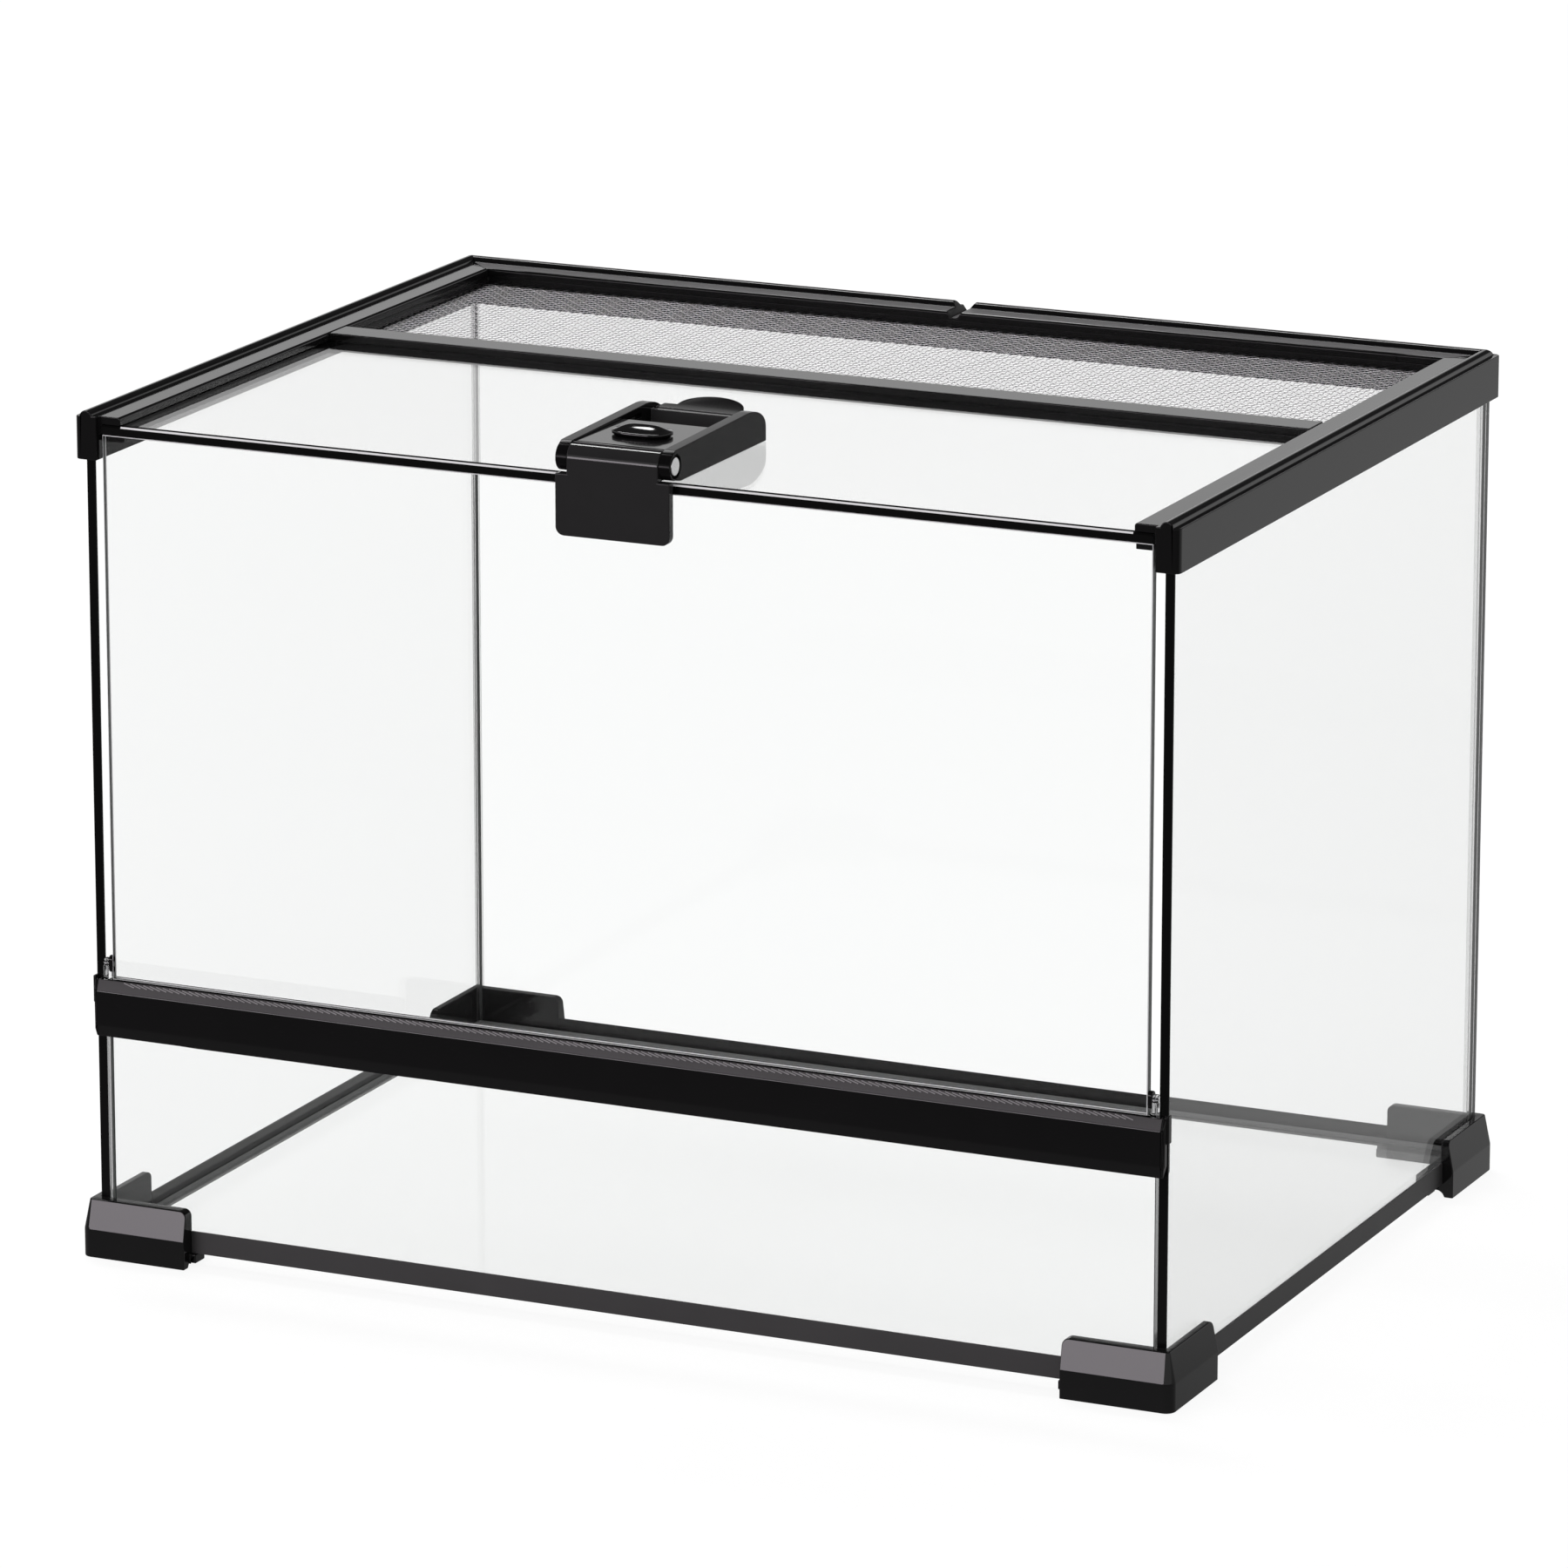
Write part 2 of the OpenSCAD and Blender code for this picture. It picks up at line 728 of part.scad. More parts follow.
// A foot in the corner where X and Y are positive. plane is its Y pane's outer face.
module foot_corner(plane) {
    floor_x = side_inner_x - base_ledge;
    floor_y = plane - glass_t - base_ledge;
    r = foot_corner_r;
    tongue_top = strip_z - seat_gap;
    color("black") union() {
        difference() {
            union() {
                along_y(leg_end_y, foot_y - r) foot_shape(foot_x, floor_x);
                along_x(leg_end_x, foot_x - r) foot_shape(foot_y, floor_y);
                translate([foot_x - r, foot_y - r, 0]) cylinder(r = r, h = foot_lean_z);
                translate([foot_x - r, foot_y - r, foot_lean_z])
                    cylinder(r1 = r, r2 = r - foot_lean, h = foot_h - foot_lean_z);
            }
            // Seat of the base pane and the panes that stand round it
            span([leg_end_x - over, leg_end_y - over, pane_seat],
                 [pane_x + pane_play, plane + pane_play, foot_h + over]);
            along_x(floor_x - over, foot_x + over) end_round_shape(leg_end_y);
            along_y(floor_y - over, foot_y + over) end_round_shape(leg_end_x);
        }
        // Tongues below the base strips
        translate([pane_x - tongue_in - tongue_w, leg_end_y - tongue_y, tongue_z])
            cube([tongue_w, tongue_y + over, tongue_top - tongue_z]);
        translate([leg_end_x - tongue_x, plane + tongue_out - tongue_w, tongue_z])
            cube([tongue_x + over, tongue_w, tongue_top - tongue_z]);
    }
}

module foot_front_left() {
    mirror([1, 0, 0]) mirror([0, 1, 0]) foot_corner(front_y);
}

module foot_front_right() {
    mirror([0, 1, 0]) foot_corner(front_y);
}

module foot_rear_left() {
    mirror([1, 0, 0]) foot_corner(rear_y);
}

module foot_rear_right() {
    foot_corner(rear_y);
}

// ---------- Front rail and vent ----------

// Front part of the rail, in Y and Z
module rail_face_shape() {
    polygon([[-half_d, rail_low + rail_bevel_h], [-half_d, front_rail_z - rail_chamfer_h],
             [rail_chamfer_d - half_d, front_rail_z], [rail_inside, front_rail_z],
             [rail_inside, rail_low], [rail_bevel_d - half_d, rail_low]]);
}

module front_rail() {
    face_half = cap_x - cap_t - seat_gap;
    inner_half = side_inner_x - pane_play;
    trough_z = front_rail_z - vent_t - trough_h;
    trough_half = vent_half - vent_end / 2;
    ducts = floor((vent_half - duct_l / 2) / duct_pitch);
    color("black") difference() {
        union() {
            along_x(-face_half, face_half) rail_face_shape();
            span([-inner_half, rail_inside - seat_gap, lower_pane_top + pane_play],
                 [inner_half, rail_back, front_rail_z]);
            span([-inner_half, rail_back - front_rail_back, rail_low],
                 [inner_half, rail_back, front_rail_z]);
        }
        // Seat of the grille and of the hinge bearings
        span([-inner_half - over, vent_y0, front_rail_z - vent_t],
             [inner_half + over, vent_y1, front_rail_z + over]);
        // Trough below the grille
        span([-trough_half, vent_y0 - seat_lip, trough_z],
             [trough_half, vent_y1 - vent_border, front_rail_z - vent_t + seat_gap]);
        // Air ducts from the lower edge up to the trough
        for (i = [-ducts : ducts])
            span([i * duct_pitch - duct_l / 2, duct_y - duct_t, rail_low - over],
                 [i * duct_pitch + duct_l / 2, duct_y, trough_z + seat_gap]);
        // Sockets for the end caps' plugs
        for (side = [-1, 1])
            translate([side * (face_half - cap_plug_l / 2 - seat_gap), duct_y - duct_t / 2, rail_mid])
                cube([cap_plug_l + 3 * seat_gap, duct_t, cap_plug_h], center = true);
    }
}

module front_rail_cap(right) {
    back = rail_inside - seat_gap;
    face_half = cap_x - cap_t;
    bevel_top = rail_low + rail_bevel_h;
    tab_rise = 1;
    tab_top = front_rail_z + tab_rise;
    tab_low = tab_top - cap_tab_h;
    tab_x = pane_x + seat_gap;
    color("black") on_side(right) {
        intersection() {
            along_x(face_half, cap_x) rail_face_shape();
            translate([0, 0, rail_low - over]) linear_extrude(height = front_rail_h + 2 * over) {
                translate([face_half, cap_t - half_d]) circle(r = cap_t);
                translate([face_half, cap_t - half_d]) square([cap_t, half_d]);
            }
            along_y(-half_d - over, 0)
                polygon([[face_half, rail_low], [cap_x - cap_bevel, rail_low], [cap_x, bevel_top],
                         [cap_x, front_rail_z], [face_half, front_rail_z]]);
        }
        translate([face_half - cap_plug_l / 2, duct_y - duct_t / 2, rail_mid])
            cube([cap_plug_l, duct_t - 2 * seat_gap, cap_plug_h - 2 * seat_gap], center = true);
        // Tab on the outer face of the side pane, and the neck that carries it
        span([tab_x, back - cap_neck_t, tab_low], [tab_x + cap_tab_t, back + cap_tab_l, tab_top]);
        span([cap_x - seat_gap, back - cap_neck_t, tab_low], [tab_x + cap_tab_t, back, tab_top]);
    }
}

module front_rail_cap_left() {
    front_rail_cap(false);
}

module front_rail_cap_right() {
    front_rail_cap(true);
}

module front_vent_grille() {
    y0 = vent_y0 + seat_gap;
    y1 = vent_y1 - seat_gap;
    mid = (y0 + y1) / 2;
    slot_l = (y1 - y0 - 2 * vent_border) / cos(vent_slant);
    slots = floor((vent_half - vent_end) / vent_pitch);
    color("black") difference() {
        span([-vent_half, y0, front_rail_z - vent_t], [vent_half, y1, front_rail_z - seat_gap]);
        for (i = [-slots : slots])
            translate([i * vent_pitch, mid, front_rail_z - vent_t / 2]) rotate([0, 0, -vent_slant])
                cube([vent_slot_w, slot_l, vent_t + over], center = true);
    }
}

// ---------- Door and hinge ----------

module door_pane() {
    color([0.8, 0.9, 0.9, 0.35])
        span([-door_half, -door_face, door_z], [door_half, glass_t - door_face, door_top]);
}

// A lug on the door's edge, rounded above and below
module hinge_lug(right) {
    r = glass_t / 2;
    color("black") on_side(right) difference() {
        along_x(door_half, door_half + lug_t) translate([hinge_y, hinge_z]) {
            square([glass_t, lug_h - glass_t], center = true);
            for (s = [-1, 1]) translate([0, s * (lug_h / 2 - r)]) circle(r = r);
        }
        translate([door_half - over, hinge_y, hinge_z]) rotate([0, 90, 0])
            cylinder(r = hinge_pin_r, h = lug_t + 2 * over);
    }
}

module hinge_lug_left() {
    hinge_lug(false);
}

module hinge_lug_right() {
    hinge_lug(true);
}

module hinge_pin(right) {
    color("silver") on_side(right) translate([door_half + seat_gap, hinge_y, hinge_z])
        rotate([0, 90, 0]) cylinder(r = hinge_pin_r, h = post_x + bearing_t - door_half - 2 * seat_gap);
}

module hinge_pin_left() {
    hinge_pin(false);
}

module hinge_pin_right() {
    hinge_pin(true);
}

// A post beside the door's edge, on a foot that sits in the front rail
module hinge_bearing(right) {
    toe = 1;
    foot_top = front_rail_z - seat_gap;
    color([0.9, 0.9, 0.9, 0.5]) on_side(right) difference() {
        union() {
            span([post_x + bearing_t - bearing_foot_l, vent_y0 + seat_gap, front_rail_z - vent_t],
                 [post_x + bearing_t, vent_y1 - seat_gap, foot_top]);
            span([post_x, hinge_y - bearing_r + toe, front_rail_z - vent_t],
                 [post_x + bearing_t, hinge_y + bearing_r, hinge_z]);
            span([post_x, hinge_y - bearing_r, front_rail_z + seat_gap],
                 [post_x + bearing_t, hinge_y + bearing_r, hinge_z]);
            translate([post_x, hinge_y, hinge_z]) rotate([0, 90, 0])
                cylinder(r = bearing_r, h = bearing_t);
        }
        translate([post_x - over, hinge_y, hinge_z]) rotate([0, 90, 0])
            cylinder(r = hinge_pin_r + pin_play, h = bearing_t + 2 * over);
    }
}

module hinge_bearing_left() {
    hinge_bearing(false);
}

module hinge_bearing_right() {
    hinge_bearing(true);
}

// ---------- Latch ----------

// A cylinder along X around the latch pin's axis, centred on the latch
module on_pin(r, w) {
    translate([latch_x - w / 2, pin_y, pin_z]) rotate([0, 90, 0]) cylinder(r = r, h = w);
}

// Front view of the plate, with its lower corners rounded
module plate_shape() {
    r = plate_corner_r;
    low = door_top - plate_drop;
    half = latch_w / 2;
    translate([-half, low + r]) square([latch_w, shoulder_z - low - r]);
    translate([r - half, low]) square([latch_w - 2 * r, shoulder_z - low]);
    for (s = [-1, 1]) translate([s * (half - r), low + r]) circle(r = r);
}

module latch_plate() {
    color([0.12, 0.12, 0.12]) difference() {
        union() {
            translate([latch_x, 0, 0]) along_y(plate_front, plate_back) plate_shape();
            span([latch_x - barrel_w / 2, plate_front, shoulder_z - over],
                 [latch_x + barrel_w / 2, plate_back, pin_z]);
            on_pin(barrel_r, barrel_w);
        }
        on_pin(latch_pin_r + pin_play, barrel_w + 2 * over);
    }
}

module latch_pad() {
    half = latch_w / 2 - pad_margin;
    color("dimgray") span([latch_x - half, plate_back, door_top - plate_drop + pad_margin],
                          [latch_x + half, -door_face, door_top - move_gap]);
}

// Side view of the latch arm, in Y and Z. Its floor starts at the heel behind the pin,
// and its upper edge ends at the nose in front of it.
module arm_shape() {
    heel = 3.8;
    nose = 1.6;
    nose_drop = 0.8;
    round_y = arm_end - arm_round_l;
    round_z = arm_top + arm_rise - arm_round_h;
    translate([pin_y, pin_z]) circle(r = ear_r);
    polygon(concat(
        [[pin_y, pin_z - ear_r], [pin_y + heel, arm_z], [arm_end, arm_z]],
        [for (a = [0 : 10 : 90]) [round_y + arm_round_l * cos(a), round_z + arm_round_h * sin(a)]],
        [[pin_y, arm_top], [pin_y - nose, arm_top - nose_drop], [pin_y - nose, pin_z]]));
}

module latch_arm() {
    wall = (latch_w - barrel_w) / 2 - seat_gap;
    inner = barrel_w / 2 + seat_gap;
    reach = inner + seat_gap;
    bar_z = slider_top - bar_drop;
    floor_y = pin_y + barrel_r + floor_gap;
    groove_end = slider_end + slider_travel + move_gap;
    groove_half = tongue_half + move_gap;
    bar_y0 = arm_end - bar_l;
    color([0.15, 0.15, 0.15]) translate([latch_x, 0, 0]) difference() {
        union() {
            for (x = [inner, -inner - wall]) along_x(x, x + wall) arm_shape();
            span([-reach, floor_y, arm_z], [reach, arm_end, arm_z + arm_floor]);
            // Rear bar with a shallow groove along its top
            span([-reach, bar_y0, arm_z], [reach, arm_end, bar_z - bar_groove_h]);
            span([-reach, bar_y0, arm_z], [reach, bar_y0 + bar_ridge, bar_z]);
            span([-reach, bar_y0 + bar_ridge + bar_groove_w, arm_z], [reach, arm_end, bar_z]);
            // Lift tab
            intersection() {
                translate([0, arm_end, bar_z - tab_t]) cylinder(r = tab_r, h = tab_t);
                span([-tab_r - over, arm_end - over, arm_z],
                     [tab_r + over, arm_end + tab_r + over, arm_top]);
            }
        }
        translate([-latch_x, 0, 0]) {
            on_pin(latch_pin_r + seat_gap / 2, latch_w + 2 * over);
            for (s = [-1, 1])
                translate([s * (latch_w - pin_head_t + seat_gap) / 2, 0, 0])
                    on_pin(pin_head_r + head_gap, pin_head_t + seat_gap);
        }
        // Grooves for the slider's tongues
        for (right = [false, true]) on_side(right)
            span([inner - over, pin_y + tongue_start - move_gap, tongue_low - move_gap],
                 [groove_half, groove_end, tongue_low + tongue_t + move_gap]);
    }
}

module latch_pin() {
    color("white") {
        on_pin(latch_pin_r, latch_w - 2 * pin_head_t);
        for (s = [-1, 1])
            translate([s * (latch_w - pin_head_t) / 2, 0, 0]) on_pin(pin_head_r, pin_head_t);
    }
}

module latch_slider() {
    color([0.12, 0.12, 0.12]) difference() {
        union() {
            span([latch_x - slider_half, pin_y, slider_top - slider_t],
                 [latch_x + slider_half, slider_end, slider_top]);
            span([latch_x - tongue_half, pin_y + tongue_start, tongue_low],
                 [latch_x + tongue_half, slider_end, tongue_low + tongue_t]);
            span([latch_x - slider_half, slider_end - slider_skirt, arm_z + arm_floor + move_gap],
                 [latch_x + slider_half, slider_end, slider_top]);
        }
        on_pin(barrel_r + move_gap, latch_w);
    }
}

// An oval outline
module oval(l, w) {
    polygon([for (a = [0 : 9 : 351]) [l / 2 * cos(a), w / 2 * sin(a)]]);
}

// A stem, a head above it and a narrower rim on top
module slider_knob() {
    head_z = 0.25 * knob_h;
    rim_z = 0.7 * knob_h;
    rim_in = 1;
    stem_in = 3;
    color([0.1, 0.1, 0.1]) translate([latch_x, pin_y + knob_y, slider_top]) {
        linear_extrude(height = knob_h) oval(knob_l - 2 * stem_in, knob_w - 2 * stem_in);
        translate([0, 0, head_z]) linear_extrude(height = rim_z - head_z) oval(knob_l, knob_w);
        translate([0, 0, rim_z]) linear_extrude(height = knob_h - rim_z)
            oval(knob_l - 2 * rim_in, knob_w - 2 * rim_in);
    }
}

base_pane();
base_strip_front();
base_strip_rear();
base_strip_left();
base_strip_right();
foot_front_left();
foot_front_right();
foot_rear_left();
foot_rear_right();
side_pane_left();
side_pane_right();
rear_pane();
front_lower_pane();
side_edge_band_left();
side_edge_band_right();
silicone_front_left();
silicone_front_right();
silicone_rear_left();
silicone_rear_right();
front_rail();
front_rail_cap_left();
front_rail_cap_right();
front_vent_grille();
hinge_bearing_left();
hinge_bearing_right();
door_pane();
hinge_lug_left();
hinge_lug_right();
hinge_pin_left();
hinge_pin_right();
top_rail_left();
top_rail_right();
top_rail_rear();
top_crossbar();
top_pane();
top_edge_band();
mesh_frame();
mesh_screen();
latch_pad();
latch_plate();
latch_arm();
latch_pin();
latch_slider();
slider_knob();
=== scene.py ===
from math import atan2, copysign, cos, pi, radians, sin

import bmesh
import bpy
from mathutils import Matrix, Vector


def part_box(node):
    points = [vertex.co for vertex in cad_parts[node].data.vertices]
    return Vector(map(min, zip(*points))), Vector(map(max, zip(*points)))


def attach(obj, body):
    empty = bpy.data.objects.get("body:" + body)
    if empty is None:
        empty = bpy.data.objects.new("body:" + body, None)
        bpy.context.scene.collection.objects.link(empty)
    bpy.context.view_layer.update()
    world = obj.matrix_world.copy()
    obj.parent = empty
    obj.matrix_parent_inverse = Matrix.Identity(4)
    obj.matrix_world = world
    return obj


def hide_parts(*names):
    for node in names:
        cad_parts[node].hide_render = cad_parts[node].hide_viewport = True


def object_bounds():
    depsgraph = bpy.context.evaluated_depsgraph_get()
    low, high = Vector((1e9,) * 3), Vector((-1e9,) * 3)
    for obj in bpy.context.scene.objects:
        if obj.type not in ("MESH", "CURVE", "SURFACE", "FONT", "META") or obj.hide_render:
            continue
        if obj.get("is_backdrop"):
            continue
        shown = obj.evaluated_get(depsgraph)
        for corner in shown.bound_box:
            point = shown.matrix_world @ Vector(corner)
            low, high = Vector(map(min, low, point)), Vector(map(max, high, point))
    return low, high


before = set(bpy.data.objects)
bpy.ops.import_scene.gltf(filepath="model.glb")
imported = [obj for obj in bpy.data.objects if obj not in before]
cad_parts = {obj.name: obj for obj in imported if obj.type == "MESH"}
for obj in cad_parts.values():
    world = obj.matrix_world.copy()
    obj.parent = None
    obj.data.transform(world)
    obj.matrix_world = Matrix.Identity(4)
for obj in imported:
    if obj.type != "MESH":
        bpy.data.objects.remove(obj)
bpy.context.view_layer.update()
scene = bpy.context.scene
scene.view_settings.view_transform = "Standard"

# ---------- Camera ----------
# A long lens on a tripod, in front of the tank and to its right, looking slightly down.
tripod = (1.25333, -2.72921, 0.94896)
line_of_sight = (-0.404907, 0.877828, -0.255867)
level_line = (0.908090, 0.418775, 0)
focal_length = 207.29
far_limit = 200
lens = bpy.data.cameras.new("long_lens")
lens.sensor_width = 36
lens.lens = focal_length
lens.clip_end = far_limit
camera = bpy.data.objects.new("camera", lens)
look = Vector(line_of_sight).normalized()
side = Vector(level_line).normalized()
above = side.cross(look)
camera.matrix_world = Matrix.Translation(tripod) @ Matrix(
    (side, above, -look)).transposed().to_4x4()
scene.collection.objects.link(camera)
scene.camera = camera

# ---------- Studio ----------
# A white paper sweep below and round the tank. It keeps the tank's shadow, and what the
# plastic mirrors of it is darker in front, where less light falls, than behind.
sweep_half = 40
sweep_drop = 0.0001
paper_shade = (0.14, 0.14, 0.14, 1)
paper_seen = 0.9
paper_behind_glass = 0.985
paper_bounce = 0.45
mirror_front = 0.08
mirror_behind = 0.55
fade_front = -0.5
fade_behind = 0.35


def node_maker(tree, family=""):
    """A function that adds a node to a tree. A socket that it names takes a value or a link."""

    def add(kind, sockets=None, **settings):
        made = tree.nodes.new(family + kind)
        for key, value in settings.items():
            setattr(made, key, value)
        for key, value in (sockets or {}).items():
            if isinstance(value, bpy.types.NodeSocket):
                tree.links.new(value, made.inputs[key])
            else:
                made.inputs[key].default_value = value
        return made

    return add


def new_material(name):
    """A material with an empty tree, and the function that adds a node to it."""
    material = bpy.data.materials.new(name)
    material.use_nodes = True
    material.node_tree.nodes.clear()
    return material, node_maker(material.node_tree, "ShaderNode")


sweep_mesh = bpy.data.meshes.new("paper_sweep")
sweep_mesh.from_pydata(
    [(x * sweep_half, y * sweep_half, -sweep_drop)
     for x, y in ((-1, -1), (1, -1), (1, 1), (-1, 1))], [], [(0, 1, 2, 3)])
sweep = bpy.data.objects.new("paper_sweep", sweep_mesh)
scene.collection.objects.link(sweep)
paper, add = new_material("white_paper")
path = add("LightPath").outputs
seen = add("Math", {0: path["Is Camera Ray"], 1: paper_seen - paper_bounce, 2: paper_bounce},
           operation="MULTIPLY_ADD")
level = add("Math", {0: path["Is Transmission Ray"], 1: paper_behind_glass - paper_bounce,
                     2: seen.outputs[0]}, operation="MULTIPLY_ADD")
glow = add("Emission", {"Strength": level.outputs[0]})
matt = add("BsdfDiffuse", {"Color": paper_shade})
lit = add("AddShader", {0: glow.outputs[0], 1: matt.outputs[0]})
split = add("SeparateXYZ", {0: add("TexCoord").outputs["Object"]})
fade = add("MapRange", {"Value": split.outputs["Y"],
                        "From Min": fade_front, "From Max": fade_behind,
                        "To Min": mirror_front, "To Max": mirror_behind},
           interpolation_type="SMOOTHSTEP")
mirrored = add("Emission", {"Strength": fade.outputs[0]})
# A ray through glass counts as glossy too, so the depth tells which rays were mirrored.
off_gloss = add("Math", {0: path["Glossy Depth"], 1: path["Is Diffuse Ray"]},
                operation="SUBTRACT", use_clamp=True)
either = add("MixShader", {0: off_gloss.outputs[0], 1: lit.outputs[0], 2: mirrored.outputs[0]})
add("OutputMaterial", {"Surface": either.outputs[0]})
sweep_mesh.materials.append(paper)
sweep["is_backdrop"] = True

# The room is white, seen directly and through glass. What gloss mirrors of it is white up to
# the top of the walls and dark above, where the ceiling is.
room_seen = 1.03
room_bounce = 0.75
wall_mirrored = 1.05
ceiling_mirrored = 0.06
wall_top = 0.28
ceiling_start = 0.34
room = bpy.data.worlds.new("white_room")
room.use_nodes = True
room.node_tree.nodes.clear()
add = node_maker(room.node_tree, "ShaderNode")
path = add("LightPath").outputs
plain = add("MapRange", {"Value": path["Is Diffuse Ray"],
                         "To Min": room_seen, "To Max": room_bounce})
split = add("SeparateXYZ", {0: add("TexCoord").outputs["Generated"]})
mirrored = add("MapRange", {"Value": split.outputs["Z"],
                            "From Min": wall_top, "From Max": ceiling_start,
                            "To Min": wall_mirrored, "To Max": ceiling_mirrored})
off_gloss = add("Math", {0: path["Glossy Depth"], 1: path["Is Diffuse Ray"]},
                operation="SUBTRACT", use_clamp=True)
level = add("Mix", {"Factor": off_gloss.outputs[0], "A": plain.outputs[0],
                    "B": mirrored.outputs[0]})
walls = add("Background", {"Strength": level.outputs["Result"]})
add("OutputWorld", {"Surface": walls.outputs[0]})
scene.world = room

# Soft boxes: a bright narrow one above and behind, and a low wide one in front on the left.
for name, at, aim, width, height, radiance, tint in (
        ("soft_box_above", (-1.15, 1.0, 2.6), (-1.15, 0.2, 0.2), 1.5, 0.42, 16, (1, 1, 1)),
        ("soft_box_front", (-1.45, -3.15, 0.34), (0, -0.1, 0.1), 2.8, 0.66, 6.6, (1, 0.92, 0.99))):
    lamp = bpy.data.lights.new(name, "AREA")
    lamp.shape = "RECTANGLE"
    lamp.size, lamp.size_y = width, height
    lamp.energy = radiance * pi * width * height
    lamp.color = tint
    box = bpy.data.objects.new(name, lamp)
    box.matrix_world = Matrix.Translation(at) @ (
        Vector(aim) - Vector(at)).to_track_quat("-Z", "Y").to_matrix().to_4x4()
    box.visible_camera = False
    box.visible_transmission = False
    scene.collection.objects.link(box)

# ---------- Base strips and corner feet ----------
# Injection-moulded black ABS, glossy from a polished tool with a faint orange peel. The
# strips hook round the panes' lower edges, and the feet are pushed over their corners.
foot_edge = 0.00035
strip_edge = 0.00015
edge_steps = 2
weld_reach = 0.000002
flat_angle = 0.6
patches_per_metre = 45
patch_low = 0.3
patch_high = 0.7
peel_per_metre = 900
peel_depth = 0.000001
uneven_shade = 0.15


def grain(add, per_metre, detail=2, squeeze=None):
    """Noise that stays with its piece. squeeze tells how much finer it is along each axis."""
    place = add("TexCoord").outputs["Object"]
    if squeeze:
        place = add("Mapping", {"Scale": squeeze, "Vector": place}).outputs[0]
    return add("TexNoise", {"Scale": per_metre, "Detail": detail, "Vector": place}).outputs["Fac"]


def dented(add, height, depth):
    """The normal of a surface with dents and bumps of this depth."""
    return add("Bump", {"Distance": depth, "Height": height}).outputs[0]


def mottled(add, shade, patch):
    """A shade that is a little darker and lighter from patch to patch."""
    dark, light = ([c * (1 + change) for c in shade] for change in (-uneven_shade, uneven_shade))
    return add("MixRGB", {0: patch, 1: (*dark, 1), 2: (*light, 1)}).outputs[0]


def black_abs(name, shade, smooth, rough, ior=1.4):
    """Black moulded plastic: its roughness varies between smooth and rough."""
    material, add = new_material(name)
    patch = grain(add, patches_per_metre, detail=3)
    gloss = add("MapRange", {"Value": patch, "From Min": patch_low, "From Max": patch_high,
                             "To Min": smooth, "To Max": rough})
    plastic = add("BsdfPrincipled", {
        "Base Color": mottled(add, shade, patch), "Roughness": gloss.outputs[0], "IOR": ior,
        "Normal": dented(add, grain(add, peel_per_metre), peel_depth)})
    add("OutputMaterial", {"Surface": plastic.outputs[0]})
    return material


def settle(piece):
    """Gives a piece the mesh that its modifiers make, and takes the modifiers away."""
    raw = piece.data
    bpy.context.view_layer.update()
    finished = bpy.data.meshes.new_from_object(
        piece.evaluated_get(bpy.context.evaluated_depsgraph_get()))
    piece.modifiers.clear()
    piece.data = finished
    bpy.data.meshes.remove(raw)
    finished.name = piece.name


def softened(node, name, edge, sharp=10):
    """A copy of a CAD node with its triangles joined and its sharp edges rounded."""
    shape = bmesh.new()
    shape.from_mesh(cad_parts[node].data)
    bmesh.ops.remove_doubles(shape, verts=shape.verts, dist=weld_reach)
    bmesh.ops.dissolve_limit(shape, angle_limit=radians(flat_angle), verts=shape.verts,
                             edges=shape.edges, delimit=set())
    mesh = bpy.data.meshes.new(name)
    shape.to_mesh(mesh)
    shape.free()
    for face in mesh.polygons:
        face.use_smooth = True
    piece = bpy.data.objects.new(name, mesh)
    scene.collection.objects.link(piece)
    round_off = piece.modifiers.new("round_off", "BEVEL")
    round_off.width = edge
    round_off.segments = edge_steps
    round_off.limit_method = "ANGLE"
    round_off.angle_limit = radians(sharp)
    round_off.use_clamp_overlap = False
    flats = piece.modifiers.new("flats", "WEIGHTED_NORMAL")
    flats.mode = "FACE_AREA"
    flats.weight = 100
    flats.keep_sharp = True
    settle(piece)
    return piece


glossy_black = black_abs("glossy_black_abs", (0.0052, 0.005, 0.0052), 0.07, 0.09, ior=1.37)
strip_black = black_abs("strip_black_abs", (0.024, 0.0228, 0.0234), 0.43, 0.47, ior=1.46)
# A darker, duller copy of the black for the rear strip and the rear-left foot: painted shade, for
# the shade their inner faces lie in within the tank.
shaded_rear_black = black_abs("painted_shade_rear_abs", (0.007, 0.0067, 0.007), 0.2, 0.25, ior=1.18)
for corner in ("front_left", "front_right", "rear_left", "rear_right"):
    foot = softened("foot_" + corner, "corner_foot_" + corner, foot_edge)
    foot.data.materials.append(shaded_rear_black if corner == "rear_left" else glossy_black)
    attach(foot, "tank")
    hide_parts("foot_" + corner)
for edge in ("front", "rear", "left", "right"):
    strip = softened("base_strip_" + edge, "pane_strip_" + edge, strip_edge)
    strip.data.materials.append(shaded_rear_black if edge == "rear" else strip_black)
    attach(strip, "tank")
    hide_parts("base_strip_" + edge)

# ---------- Tank panes ----------
# Clear float glass, 3.2 mm thick, cut to size with its edges ground flat and the arrises
# broken. The base pane rests on ledges of the feet and strips, and the others stand round it.
arris = 0.00025
square_on = 0.9  # the cosine above which a face looks along an axis
edge_on = 0.1  # the cosine below which it looks across it
belt_per_metre = 260
belt_depth = 0.00001
light_kept = (0.95, 0.95, 0.95, 1)


